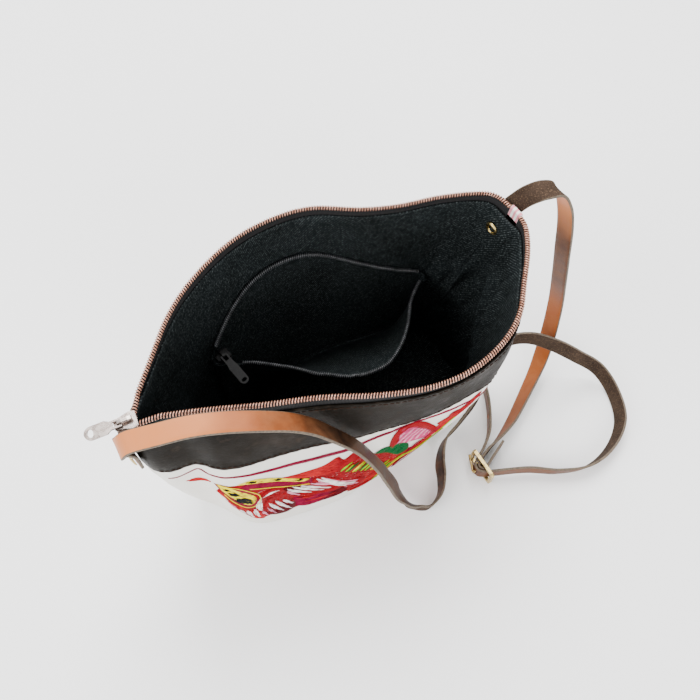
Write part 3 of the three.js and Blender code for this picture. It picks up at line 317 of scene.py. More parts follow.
def patchy(x, y, seed):
    """Smooth noise from -1 to 1 over two arrays, with hills about one unit apart."""
    table = np.random.default_rng(seed).uniform(-1, 1, (64, 64))
    i, j = np.floor(x).astype(int), np.floor(y).astype(int)
    u, v = x - i, y - j
    u, v = u * u * (3 - 2 * u), v * v * (3 - 2 * v)

    def at(a, b):
        return table[(i + a) % 64, (j + b) % 64]

    low = at(0, 0) * (1 - u) + at(1, 0) * u
    high = at(0, 1) * (1 - u) + at(1, 1) * u
    return low * (1 - v) + high * v


# Meshes

def mesh_object(name, points, faces, materials, face_material=None, uv=None, slot=None):
    mesh = bpy.data.meshes.new(name)
    mesh.from_pydata((np.asarray(points).reshape(-1, 3) * MM).tolist(), [], faces)
    if uv is not None:
        index = np.zeros(len(mesh.loops), np.int32)
        mesh.loops.foreach_get("vertex_index", index)
        layer = mesh.uv_layers.new(name="UVMap")
        spread = np.asarray(uv, float).reshape(-1, 2)[index]
        layer.data.foreach_set("uv", spread.astype(np.float32).ravel())
    for material in materials:
        mesh.materials.append(material)
    if face_material is not None:
        mesh.polygons.foreach_set("material_index", np.asarray(face_material, np.int32))
    mesh.polygons.foreach_set("use_smooth", np.full(len(mesh.polygons), True))
    work = bmesh.new()
    work.from_mesh(mesh)
    bmesh.ops.recalc_face_normals(work, faces=work.faces)
    work.to_mesh(mesh)
    work.free()
    made = bpy.data.objects.new(name, mesh)
    bpy.context.scene.collection.objects.link(made)
    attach(made, "purse")
    return made


def loft_faces(rings, size, round_path=False):
    faces = []
    for r in range(rings if round_path else rings - 1):
        a, b = r * size, (r + 1) % rings * size
        for k in range(size):
            n = (k + 1) % size
            faces.append((a + k, a + n, b + n, b + k))
    if not round_path:
        faces.append(tuple(range(size - 1, -1, -1)))
        faces.append(tuple((rings - 1) * size + k for k in range(size)))
    return faces


def edge_profile(low, high, outer, inner, rows, inner_rows=8, turns=5):
    """Closed section of a wall from low to high: its heights, offsets and how far the
    outer face's relief reaches each point."""
    mid, r = (outer + inner) / 2, (outer - inner) / 2
    up = np.linspace(low + r, high - r, rows)
    top = np.linspace(0, math.pi, turns + 2)[1:-1]
    down = np.linspace(high - r, low + r, inner_rows)
    z = np.r_[up, high - r + r * np.sin(top), down, low + r - r * np.sin(top)]
    out = np.r_[np.full(rows, outer), mid + r * np.cos(top), np.full(inner_rows, inner),
                mid - r * np.cos(top)]
    share = np.clip((out - inner) / (outer - inner), 0, 1)
    return z, out, share


def wall_piece(name, start, end, step, profile, materials, relief=None, loose=False, slot=None):
    """A piece of the wall's layers, from one share of the way round to another."""
    z, out, reach = profile
    shares = np.linspace(start, end, max(3, int(abs(end - start) * GIRTH / step)))
    a, z2 = np.meshgrid(shares, z, indexing="ij")
    offset = np.broadcast_to(out, a.shape)
    if relief is not None:
        offset = offset + reach * relief(a, z2)
    points = wall(a, z2, offset, loose)
    uv = np.stack([a * GIRTH * MM, z2 * MM], -1)
    faces = loft_faces(len(shares), len(z))
    return mesh_object(name, points, faces, materials, uv=uv, slot=slot)


def instances(template, faces, at, axes):
    """Points and faces of copies of a template, one at each place with its own axes."""
    points = at[:, None, :] + np.einsum("tk,nkx->ntx", template, axes)
    count = len(template)
    copied = [tuple(v + n * count for v in face) for n in range(len(at)) for face in faces]
    return points.reshape(-1, 3), copied


def ring_template(wide, high, wire, around=14, sides=6):
    """A loop of wire in the plane of the second and third axes."""
    turn = np.linspace(0, 2 * math.pi, around, endpoint=False)[:, None]
    side = np.linspace(0, 2 * math.pi, sides, endpoint=False)[None, :]
    y = np.cos(turn) * (wide + wire * np.cos(side))
    z = np.sin(turn) * (high + wire * np.cos(side))
    x = wire * np.sin(side) + 0 * turn
    return np.stack([x, y, z], -1).reshape(-1, 3), loft_faces(around, sides, True)


def capsule_template(length, wide, high, rings=5, sides=8):
    """A rounded stitch along the first axis, lying on the plane of the first two."""
    t = np.linspace(0, math.pi, rings)
    x = -np.cos(t) * length / 2
    r = np.sqrt(np.clip(np.sin(t), 0.12, 1))
    side = np.linspace(0, 2 * math.pi, sides, endpoint=False)
    points = np.stack([
        np.broadcast_to(x[:, None], (rings, sides)),
        r[:, None] * np.cos(side) * wide / 2,
        r[:, None] * np.sin(side) * high / 2,
    ], -1)
    return points.reshape(-1, 3), loft_faces(rings, sides)


def frames_along(line, up):
    """Tangent, sideways and up axes at each point of a line."""
    along = np.gradient(line, axis=0)
    along /= np.linalg.norm(along, axis=1, keepdims=True)
    up = up - along * (up * along).sum(1, keepdims=True)
    up /= np.linalg.norm(up, axis=1, keepdims=True)
    return np.stack([along, np.cross(up, along), up], 1)


def evenly(line, pitch):
    """Points at an even pitch along a line, and their share of its length."""
    length, _, whole = by_length(line)
    count = max(2, int(round(whole / pitch)))
    share = (np.arange(count) + 0.5) / count
    return np.stack([np.interp(share, length, line[:, k]) for k in range(3)], 1), share


def tube(name, line, up, wide, high, materials, sides=12, **keys):
    axes = frames_along(line, up)
    side = np.linspace(0, 2 * math.pi, sides, endpoint=False)
    section = np.stack([0 * side, np.cos(side) * wide / 2, np.sin(side) * high / 2], -1)
    points = line[:, None, :] + np.einsum("sk,nkx->nsx", section, axes)
    return mesh_object(name, points, loft_faces(len(line), sides), materials, **keys)


# Materials

class Shader:
    """A principled material, with helpers that add and join its nodes."""

    def __init__(self, name, **sockets):
        self.material = bpy.data.materials.new(name)
        self.material.use_nodes = True
        self.nodes = self.material.node_tree.nodes
        self.links = self.material.node_tree.links
        self.shader = self.nodes["Principled BSDF"]
        for socket, value in sockets.items():
            self.shader.inputs[socket.replace("_", " ")].default_value = value
        self.where = self.nodes.new("ShaderNodeTexCoord")
        self.heights = []

    def add(self, kind, **inputs):
        node = self.nodes.new("ShaderNode" + kind)
        for socket, value in inputs.items():
            target = node.inputs[int(socket[1:])] if socket[0] == "i" and socket[1:].isdigit() \
                else node.inputs[socket.replace("_", " ")]
            if isinstance(value, bpy.types.NodeSocket):
                self.links.new(value, target)
            else:
                target.default_value = value
        return node

    def noise(self, scale, detail=4.0, rough=0.55, stretch=None):
        vector = self.where.outputs["Object"]
        if stretch:
            mapping = self.add("Mapping", Vector=vector)
            mapping.inputs["Scale"].default_value = stretch
            vector = mapping.outputs[0]
        node = self.add("TexNoise", Vector=vector, Scale=scale, Detail=detail, Roughness=rough)
        return node.outputs["Fac"]

    def cells(self, scale):
        node = self.add("TexVoronoi", Vector=self.where.outputs["Object"], Scale=scale)
        node.feature = "DISTANCE_TO_EDGE"
        return node.outputs["Distance"]

    def wave(self, scale, direction="X", distortion=0.6):
        node = self.add("TexWave", Vector=self.where.outputs["UV"], Scale=scale,
                        Distortion=distortion, Detail=1.0)
        node.bands_direction = direction
        return node.outputs["Fac"]

    def ramp(self, value, *stops):
        node = self.add("ValToRGB", Fac=value)
        ramp = node.color_ramp
        while len(ramp.elements) < len(stops):
            ramp.elements.new(0.5)
        for element, (place, colour) in zip(ramp.elements, stops):
            element.position = place
            element.color = (*colour, 1) if len(colour) == 3 else colour
        return node.outputs["Color"]

    def level(self, value, low, high, to_low=0.0, to_high=1.0):
        node = self.add("MapRange", Value=value)
        for socket, number in zip(("From Min", "From Max", "To Min", "To Max"),
                                  (low, high, to_low, to_high)):
            node.inputs[socket].default_value = number
        return node.outputs["Result"]

    def maths(self, operation, a, b):
        node = self.add("Math", i0=a, i1=b)
        node.operation = operation
        return node.outputs[0]

    def mix(self, share, a, b, blend="MIX"):
        node = self.nodes.new("ShaderNodeMix")
        node.data_type = "RGBA"
        node.blend_type = blend
        for index, value in ((0, share), (6, a), (7, b)):
            if isinstance(value, bpy.types.NodeSocket):
                self.links.new(value, node.inputs[index])
            elif isinstance(value, tuple):
                node.inputs[index].default_value = (*value, 1)
            else:
                node.inputs[index].default_value = value
        return node.outputs[2]

    def colour(self, value):
        self.links.new(value, self.shader.inputs["Base Color"])

    def roughness(self, value):
        self.links.new(value, self.shader.inputs["Roughness"])

    def bump(self, value, strength=0.3, distance=0.0002):
        node = self.add("Bump", Height=value, Strength=strength, Distance=distance)
        if self.heights:
            self.links.new(self.heights[-1].outputs["Normal"], node.inputs["Normal"])
        self.heights.append(node)
        self.links.new(node.outputs["Normal"], self.shader.inputs["Normal"])


def band_leather():
    s = Shader("band_leather", Roughness=0.5, Specular_IOR_Level=0.04)
    grain = s.cells(760)
    drift = s.noise(26, 5, 0.6)
    worn = s.noise(95, 6, 0.65)
    base = s.ramp(drift, (0.3, (0.004, 0.003, 0.002)), (0.55, (0.008, 0.006, 0.004)),
                  (0.75, (0.020, 0.014, 0.010)))
    flecks = s.ramp(worn, (0.56, (0, 0, 0)), (0.72, (1, 1, 1)))
    s.colour(s.mix(flecks, base, (0.026, 0.019, 0.014)))
    s.roughness(s.level(worn, 0.3, 0.75, 0.36, 0.6))
    s.bump(s.level(grain, 0.0, 0.25), 0.35, 0.00012)
    s.bump(s.noise(160, 5, 0.6), 0.35, 0.0005)
    return s.material


def strap_grain(name, *tones):
    """Oiled leather, its tone set by how far along the strap it is, in metres; the tones paint
    highlight and shade along the strap by place.
    """
    s = Shader(name, Roughness=0.42, Specular_IOR_Level=0.1)
    run = s.add("SeparateXYZ", Vector=s.where.outputs["UV"]).outputs["X"]
    drift = s.noise(14, 4, 0.6)
    pull_up = s.noise(60, 6, 0.7)
    reach = tones[-1][0]
    # The ramp along the run paints light and shade: the bright stretches are painted highlight, the
    # dark stretches painted shade.
    place = s.maths("ADD", s.level(run, 0, reach), s.level(drift, 0.2, 0.8, -0.03, 0.03))
    base = s.ramp(place, *((at / reach, tone) for at, tone in tones))
    worn = s.level(pull_up, 0.4, 0.8, 0.0, 0.3)
    s.colour(s.mix(worn, base, (0.42, 0.18, 0.075)))
    s.roughness(s.level(pull_up, 0.3, 0.7, 0.3, 0.5))
    s.bump(s.level(s.cells(900), 0.0, 0.25), 0.2, 0.0001)
    s.bump(s.noise(110, 4, 0.5), 0.12, 0.0004)
    return s.material


def strap_flesh():
    s = Shader("strap_flesh", Roughness=0.9, Specular_IOR_Level=0.1)
    fibre = s.noise(1100, 6, 0.8)
    drift = s.noise(60, 4, 0.6)
    base = s.ramp(drift, (0.3, (0.018, 0.011, 0.008)), (0.7, (0.05, 0.032, 0.022)))
    s.colour(s.mix(s.ramp(fibre, (0.52, (0, 0, 0)), (0.7, (1, 1, 1))), base,
                   (0.16, 0.10, 0.06)))
    s.bump(fibre, 0.6, 0.0005)
    return s.material


def strap_edge():
    s = Shader("strap_edge", Roughness=0.65)
    fibre = s.noise(700, 5, 0.7)
    s.colour(s.ramp(fibre, (0.3, (0.035, 0.022, 0.014)), (0.7, (0.15, 0.11, 0.07))))
    s.bump(fibre, 0.4, 0.0003)
    return s.material


def cotton():
    colour = (0.83, 0.80, 0.73)
    s = Shader("cotton", Roughness=0.92, Specular_IOR_Level=0.15, Sheen_Weight=0.2)
    weave = s.maths("ADD", s.wave(560, "X", distortion=0.3), s.wave(560, "Y", distortion=0.3))
    drift = s.noise(30, 4, 0.6)
    soft = tuple(v * 0.9 for v in colour)
    base = s.mix(s.level(drift, 0.35, 0.7), soft, colour)
    s.colour(s.mix(s.level(weave, 0.2, 1.2, 0.14, 0.0), base, tuple(v * 0.55 for v in colour)))
    s.bump(weave, 0.35, 0.00025)
    s.bump(s.noise(45, 4, 0.55), 0.15, 0.002)
    return s.material


def lining_twill():
    s = Shader("lining_twill", Roughness=0.7, Specular_IOR_Level=0.08)
    twill = s.wave(300, "DIAGONAL", distortion=1.2)
    lint_and_sheen = s.noise(800, 3, 0.7)
    drift = s.noise(22, 4, 0.6)
    base = s.ramp(drift, (0.3, (0.002, 0.003, 0.003)), (0.7, (0.008, 0.011, 0.012)))
    # Pale specks on the twill ridges: partly lint in the cloth, partly painted sheen where the black
    # twill catches the light.
    fleck = s.maths("MULTIPLY", s.level(lint_and_sheen, 0.46, 0.72), s.level(twill, 0.3, 0.9))
    s.colour(s.mix(fleck, base, (0.09, 0.105, 0.105)))
    s.bump(twill, 0.4, 0.0003)
    s.bump(s.noise(70, 5, 0.6), 0.4, 0.0018)
    return s.material


def zip_tape():
    s = Shader("zip_tape", Roughness=0.85, Specular_IOR_Level=0.2)
    rib = s.wave(420, "X", distortion=0.2)
    s.colour(s.ramp(rib, (0.2, (0.006, 0.006, 0.007)), (0.9, (0.028, 0.027, 0.027))))
    s.bump(rib, 0.4, 0.0003)
    return s.material


def coil(name, low, high, metallic, rough):
    s = Shader(name, Roughness=rough, Metallic=metallic, Specular_IOR_Level=0.6)
    s.colour(s.ramp(s.noise(300, 3, 0.5), (0.35, low), (0.65, high)))
    s.bump(s.noise(1500, 3, 0.6), 0.1, 0.0001)
    return s.material


def metal(name, low, high, rough_low, rough_high, grime=None):
    s = Shader(name, Metallic=1.0)
    drift = s.noise(220, 5, 0.6)
    clean = s.ramp(drift, (0.3, low), (0.7, high))
    if grime:
        spots = s.ramp(s.noise(520, 6, 0.7), (0.52, (0, 0, 0)), (0.66, (1, 1, 1)))
        clean = s.mix(spots, clean, grime)
    s.colour(clean)
    s.roughness(s.level(drift, 0.3, 0.7, rough_low, rough_high))
    s.bump(s.noise(900, 4, 0.6), 0.08, 0.0001)
    return s.material


def enamel():
    s = Shader("black_enamel", Roughness=0.32, Specular_IOR_Level=0.12)
    s.colour(s.ramp(s.noise(400, 4, 0.6), (0.4, (0.002, 0.002, 0.002)),
                    (0.7, (0.006, 0.006, 0.006))))
    return s.material


def thread(name, colour):
    s = Shader("thread_" + name, Roughness=0.6, Specular_IOR_Level=0.07)
    drift = s.noise(240, 3, 0.6)
    dark = tuple(v * 0.62 for v in colour)
    s.colour(s.ramp(drift, (0.3, dark), (0.62, colour)))
    s.bump(s.noise(2600, 2, 0.5, stretch=(1, 1, 0.3)), 0.25, 0.00015)
    return s.material


LEATHER_MATERIAL = band_leather()
# Tones laid along each strap by place paint its light and shade: the peach stretches are painted
# highlight, the darkest stretches painted shade.
PEACH_HIGHLIGHT, TAN = (0.50, 0.165, 0.05), (0.27, 0.07, 0.016)
BROWN, DARK_SHADE = (0.075, 0.025, 0.010), (0.016, 0.008, 0.005)
LONG_GRAIN = strap_grain("strap_grain_long", (0.0, TAN), (0.03, PEACH_HIGHLIGHT), (0.10, PEACH_HIGHLIGHT), (0.13, TAN),
                         (0.155, BROWN), (0.175, DARK_SHADE), (0.45, DARK_SHADE), (0.6, BROWN), (0.8, BROWN))
SHORT_GRAIN = strap_grain("strap_grain_short", (0.0, PEACH_HIGHLIGHT), (0.08, PEACH_HIGHLIGHT), (0.12, BROWN),
                          (0.16, BROWN), (0.20, TAN), (0.26, TAN), (0.4, BROWN))
FLESH, EDGE = strap_flesh(), strap_edge()
COTTON = cotton()
TWILL = lining_twill()
TAPE_MATERIAL = zip_tape()
COPPER = coil("copper_coil", (0.36, 0.16, 0.10), (0.62, 0.34, 0.25), 0.75, 0.3)
BLACK_COIL = coil("black_coil", (0.05, 0.052, 0.055), (0.13, 0.135, 0.14), 0.6, 0.28)
NICKEL = metal("pale_nickel", (0.26, 0.21, 0.19), (0.52, 0.46, 0.42), 0.2, 0.34)
BRASS = metal("old_brass", (0.42, 0.30, 0.10), (0.74, 0.58, 0.26), 0.22, 0.42,
              grime=(0.10, 0.06, 0.02))
ENAMEL = enamel()
THREADS = {
    "magenta": (0.22, 0.0, 0.028), "red": (0.30, 0.001, 0.006), "deep": (0.10, 0.0, 0.004),
    "coral": (0.46, 0.012, 0.014), "pink": (0.60, 0.06, 0.20), "blush": (0.80, 0.32, 0.44),
    "white": (0.90, 0.87, 0.84), "yellow": (0.90, 0.74, 0.0), "lime": (0.24, 0.58, 0.0),
    "green": (0.0, 0.10, 0.022), "black": (0.003, 0.004, 0.005), "brown": (0.03, 0.014, 0.008),
    "rust": (0.28, 0.11, 0.035),
}
THREAD_NAMES = list(THREADS)
THREAD_MATERIALS = [thread(name, THREADS[name]) for name in THREAD_NAMES]


# Leather band round the top

SEAM_GAP = GAP / 2 / GIRTH


def leather_relief(around, z):
    """Puckers along the two stitched edges, soft creases and the dents of handling."""
    u = around * GIRTH
    near_low = np.exp(-((z - BAND_LOW - 3) / 4.5) ** 2)
    near_high = np.exp(-((z - BAND_HIGH + 3) / 4) ** 2)
    puckers = 0.16 * np.sin(u / 1.15 + 2 * patchy(u / 30, z / 30, 3)) * (near_low + near_high)
    puckers -= 0.22 * near_low + 0.18 * near_high
    slanted = (u + 0.9 * z) / 26
    creases = 0.7 * patchy(slanted, z / 34, 5) + 0.4 * patchy(u / 11, z / 22, 8)
    inside = np.clip((z - BAND_LOW) / 8, 0, 1) * np.clip((BAND_HIGH - z) / 8, 0, 1)
    return puckers + creases * inside * 0.8


band_profile = edge_profile(BAND_LOW, BAND_HIGH, LEATHER_PROUD, LEATHER_IN, 46)
for side, start in (("front", 0.0), ("back", 0.5)):
    band = wall_piece("leather_band_" + side, start + SEAM_GAP, start + 0.5 - SEAM_GAP, 1.3,
                      band_profile, [LEATHER_MATERIAL], relief=leather_relief,
                      slot="leather_band")
    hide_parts("band_" + side)


def surface_stitches(name, heights, start, end, out, relief, pitch, length, wide, colour):
    """Rows of stitches lying on the wall, as one mesh."""
    template, faces = capsule_template(length, wide, wide * 0.9)
    points, copied = [], []
    for z in heights:
        a = np.linspace(start, end, int((end - start) * GIRTH / 0.8))
        line = wall(a, np.full(a.shape, z), out + relief(a, np.full(a.shape, z)))
        at, share = evenly(line, pitch)
        here = start + (end - start) * share
        level = np.full(here.shape, z / HEIGHT)
        normal = np.c_[outward(here, level), np.zeros(len(here))]
        added, more = instances(template, faces, at, frames_along(at, normal))
        copied += [tuple(v + sum(len(p) for p in points) for v in face) for face in more]
        points.append(added)
    return mesh_object(name, np.vstack(points), copied, [THREAD_MATERIALS[
        THREAD_NAMES.index(colour)]], slot="leather_band")


for side, start in (("front", 0.0), ("back", 0.5)):
    surface_stitches("band_stitches_" + side, (BAND_LOW + 3.0, BAND_HIGH - 3.2),
                     start + 0.004, start + 0.496, LEATHER_PROUD + 0.12, leather_relief,
                     3.4, 2.7, 0.62, "brown")

# Cotton panels, with the front embroidered


def cloth_relief(around, z):
    u = around * GIRTH
    pulled = np.exp(-((z - CLOTH_HIGH) / 9) ** 2)
    soft = 0.35 * patchy(u / 17, z / 24, 21) * np.clip((CLOTH_HIGH - z) / 12, 0, 1)
    return soft + 0.1 * np.sin(u / 1.7) * pulled * np.clip((CLOTH_HIGH - z) / 2, 0, 1)


def cloth_profile():
    low = 0.3
    z, out, reach = edge_profile(low, CLOTH_HIGH, 0.0, -CLOTH, 60, inner_rows=14)
    return z, out, reach * np.clip(z / 12, 0, 1)


panel_profile = cloth_profile()
for side, start in (("front", 0.0), ("back", 0.5)):
    panel = wall_piece("cotton_panel_" + side, start + SEAM_GAP, start + 0.5 - SEAM_GAP, 1.8,
                       panel_profile, [COTTON], relief=cloth_relief,
                       slot="embroidered_cotton" if side == "front" else "cotton")
    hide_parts(side + "_panel")


def base_cloth():
    """The flat base, a little crowned at its rounded rim."""
    shares = np.linspace(0, 1, 240, endpoint=False)
    rings = []
    rim = ((1.0, 0.0), (0.2, 0.25), (0.0, 0.8), (0.2, BASE_PLATE - 0.25), (1.0, BASE_PLATE))
    for inset, z in rim:
        edge = wall(shares, np.zeros(shares.shape), -CLOTH - GAP - inset)
        rings.append(np.c_[edge[:, :2], np.full(len(shares), z)])
    count = len(shares)
    points = np.vstack(rings)
    faces = []
    for r in range(len(rings) - 1):
        for k in range(count):
            n = (k + 1) % count
            faces.append((r * count + k, r * count + n, (r + 1) * count + n, (r + 1) * count + k))
    for r in (0, len(rings) - 1):
        for k in range(count // 2):
            ring = [k, (k + 1) % count, (count - k - 1) % count, (count - k) % count]
            corners = tuple(dict.fromkeys(r * count + v for v in ring))
            if len(corners) > 2:
                faces.append(corners)
    uv = points[:, :2] * MM
    made = mesh_object("base_cloth", points, faces, [COTTON], uv=uv, slot="cotton")
    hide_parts("base_panel")


base_cloth()

# Embroidery: threads laid along each petal, in panel millimetres from the slider end


def petal_threads(u, z, heading, length, width, bend, paint, raise_by=0.0, pitch=0.62, blunt=0.75):
    """Threads that run along a petal; each is its points on the panel, with a colour
    for every stretch. paint gives a thread name for a share along and across."""
    steps = max(4, int(length / 2.2))
    t = np.linspace(0, 1, steps + 1)
    turn = np.radians(heading + bend * (t - 0.5))
    du, dz = np.cos(turn), np.sin(turn)
    su = u + np.r_[0, np.cumsum((du[:-1] + du[1:]) / 2)] * length / steps
    sz = z + np.r_[0, np.cumsum((dz[:-1] + dz[1:]) / 2)] * length / steps
    half = width / 2 * np.sin(math.pi * np.clip(t, 0.02, 0.985) ** blunt) ** 0.6
    rows = []
    count = max(1, int(width / pitch))
    for k in range(count):
        y = (k + 0.5) / count * width - width / 2
        live = np.where(half > abs(y) + pitch * 0.25)[0]
        if len(live) < 2:
            continue
        first, last = live[0], live[-1]
        tt = t[first:last + 1]
        jitter = rng.uniform(-0.12, 0.12)
        pu = su[first:last + 1] - dz[first:last + 1] * (y + jitter)
        pz = sz[first:last + 1] + du[first:last + 1] * (y + jitter)
        colours = [paint((a + b) / 2, y / (width / 2)) for a, b in zip(tt, tt[1:])]
        rows.append((pu, pz, raise_by + rng.uniform(0, 0.06), colours))
    return rows


def line_threads(points, strands, pitch=0.62, colour="magenta", raise_by=0.05):
    """Strands laid side by side along a smooth line on the panel."""
    line = spline(points, 10)
    along = np.gradient(line, axis=0)
    along /= np.linalg.norm(along, axis=1, keepdims=True)
    rows = []
    for k in range(strands):
        y = (k - (strands - 1) / 2) * pitch
        rows.append((line[:, 0] - along[:, 1] * y, line[:, 1] + along[:, 0] * y, raise_by,
                     [colour] * (len(line) - 1)))
    return rows


def satin_line(points, widths, colour, pitch=0.6, raise_by=0.1):
    """Short threads laid across a line, as in a satin-stitched stripe."""
    line = spline(points, 40)
    length, _, whole = by_length(line)
    share = np.linspace(0, 1, int(whole / pitch))
    at = np.stack([np.interp(share, length, line[:, k]) for k in (0, 1)], 1)
    along = np.gradient(at, axis=0)
    along /= np.linalg.norm(along, axis=1, keepdims=True)
    wide = np.interp(share, np.linspace(0, 1, len(widths)), widths) / 2
    rows = []
    for p, d, w in zip(at, along, wide):
        w = w + rng.uniform(-0.12, 0.12)
        slope = np.array([-d[1], d[0]]) + 0.25 * d
        ends = np.array([p - slope * w, p, p + slope * w])
        rows.append((ends[:, 0], ends[:, 1], raise_by, [colour] * 2))
    return rows


def patch(outline, heading, paint, raise_by, stitch=12.0, pitch=0.6):
    """Satin threads at one heading, that fill a smooth closed outline on the panel."""
    shape = spline(outline + outline[:1], 8)
    turn = math.radians(heading)
    along = np.array([math.cos(turn), math.sin(turn)])
    side = np.array([-math.sin(turn), math.cos(turn)])
    s, t = shape @ along, shape @ side
    rows = []
    for y in np.arange(t.min() + pitch / 2, t.max(), pitch):
        crossed_at = np.where((t[:-1] - y) * (t[1:] - y) < 0)[0]
        share = (y - t[crossed_at]) / (t[crossed_at + 1] - t[crossed_at])
        ends = np.sort(s[crossed_at] + share * (s[crossed_at + 1] - s[crossed_at]))
        for low, high in zip(ends[::2], ends[1::2]):
            if high - low < 0.9:
                continue
            count = max(1, int(round((high - low) / stitch + rng.uniform(-0.3, 0.3))))
            cuts = low + (high - low) * np.arange(count + 1) / count
            cuts[1:-1] += rng.uniform(-1.5, 1.5, count - 1)
            for start, end in zip(cuts, cuts[1:]):
                run = np.linspace(start, end, max(2, int((end - start) / 3.2) + 1))
                across = (y - t.min()) / (t.max() - t.min()) * 2 - 1
                reach = (run[:-1] - s.min()) / (s.max() - s.min())
                rows.append((run * along[0] + y * side[0], run * along[1] + y * side[1],
                             raise_by + rng.uniform(0, 0.08), [paint(r, across) for r in reach]))
    return rows


def lens(start, end, width, bend, colour, raise_by):
    """A narrow leaf of threads from one place on the panel to another."""
    run = np.subtract(end, start)
    return petal_threads(start[0], start[1], math.degrees(math.atan2(run[1], run[0])),
                         float(np.hypot(*run)), width, bend, plain(colour), raise_by)


def plain(colour):
    return lambda along, across: colour


def shaded(first, second, turn=0.5):
    """One colour that gives way to another along the threads, with a ragged edge."""
    return lambda along, across: second if along > turn + rng.uniform(-0.12, 0.12) else first


def streaked(base, streak, bands=3):
    def paint(along, across):
        inside = 0.1 < along < 0.86 - 0.2 * abs(across)
        return streak if math.sin((across + 1) * math.pi * bands) > 0.25 and inside else base
    return paint


# Satin fields of the flower: outline, heading of the threads, paint and raise
FIELDS = [
    ([(32, 80), (36, 66), (41, 50), (47, 34), (52, 25), (62, 26), (70, 22), (84, 24), (94, 22),
      (106, 22), (124, 18), (143, 4), (160, 3), (182, 3), (198, 6), (204, 26), (198, 40),
      (186, 34), (172, 48), (160, 58), (150, 66), (143, 76), (130, 84), (118, 82), (107, 84),
      (96, 82), (82, 83), (70, 92), (55, 97), (40, 96)], -52, shaded("red", "coral", 0.7), 0.0),
    ([(31, 78), (36, 66), (41, 50), (47, 34), (52, 25), (58, 24), (56, 38), (50, 48), (45, 56),
      (40, 68), (36, 80)], -76, streaked("coral", "red", 3), 0.16),
    ([(33, 96), (37, 82), (42, 68), (48, 54), (56, 53), (58, 62), (56, 72), (54, 82), (49, 91),
      (42, 98)], -66, plain("magenta"), 0.22),
    ([(35, 97), (42, 97), (48, 88), (54, 80), (56, 70), (52, 61), (47, 66), (42, 78), (37, 88)],
     -58, plain("yellow"), 0.36),
    ([(48, 92), (54, 99), (62, 99), (70, 92), (78, 86), (91, 75), (98, 71), (97, 63), (88, 65),
      (80, 71), (73, 75), (66, 81), (58, 85), (53, 86)], -34, plain("magenta"), 0.24),
    ([(47, 99), (56, 102), (66, 97), (76, 89), (90, 77), (95, 73), (90, 72), (78, 82), (66, 91),
      (56, 97)], -32, plain("yellow"), 0.38),
    ([(54, 56), (57, 69), (63, 77), (71, 75), (77, 65), (80, 48), (83, 32), (77, 22), (66, 24),
      (60, 32), (56, 44)], -72, shaded("red", "deep", 0.62), 0.3),
    ([(75, 70), (81, 73), (91, 67), (101, 63), (111, 61), (119, 52), (124, 40), (117, 33),
      (104, 37), (92, 42), (84, 48), (78, 58)], -38, shaded("deep", "red", 0.34), 0.34),
    ([(82, 48), (92, 38), (104, 38), (116, 35), (126, 29), (122, 19), (106, 20), (94, 20),
      (86, 24), (81, 34)], -16, shaded("magenta", "deep", 0.56), 0.26),
    ([(97, 71), (105, 68), (116, 58), (127, 42), (137, 33), (143, 20), (134, 16), (125, 28),
      (117, 42), (107, 55), (98, 63)], -50, streaked("red", "blush", 3), 0.4),
    ([(70, 92), (80, 88), (94, 87), (106, 89), (116, 98), (121, 90), (129, 98), (134, 84),
      (127, 75), (118, 68), (108, 70), (98, 74), (86, 80), (76, 86)], -8, shaded("coral", "red", 0.6),
     0.2),
    ([(146, 73), (152, 77), (158, 73), (164, 71), (170, 64), (177, 52), (179, 38), (172, 36),
      (165, 46), (157, 60)], -48, plain("green"), 0.5),
    ([(162, 66), (159, 88), (159, 110), (164, 117), (171, 112), (179, 96), (187, 78), (195, 62),
      (202, 47), (192, 46), (180, 54), (170, 60)], 84, streaked("pink", "blush", 8), 0.36),
    ([(160, 62), (156, 84), (156, 108), (161, 119), (169, 119), (178, 106), (188, 84),
      (198, 62), (205, 49), (199, 47), (190, 66), (180, 86), (170, 104), (164, 108), (161, 96),
      (164, 74)], 64, plain("red"), 0.52),
    ([(196, 34), (206, 44), (211, 66), (213, 92), (214, 117), (209, 110), (206, 95), (199, 94),
      (201, 80), (195, 74), (200, 62), (193, 52)], 66, shaded("coral", "red", 0.5), 0.4),
]

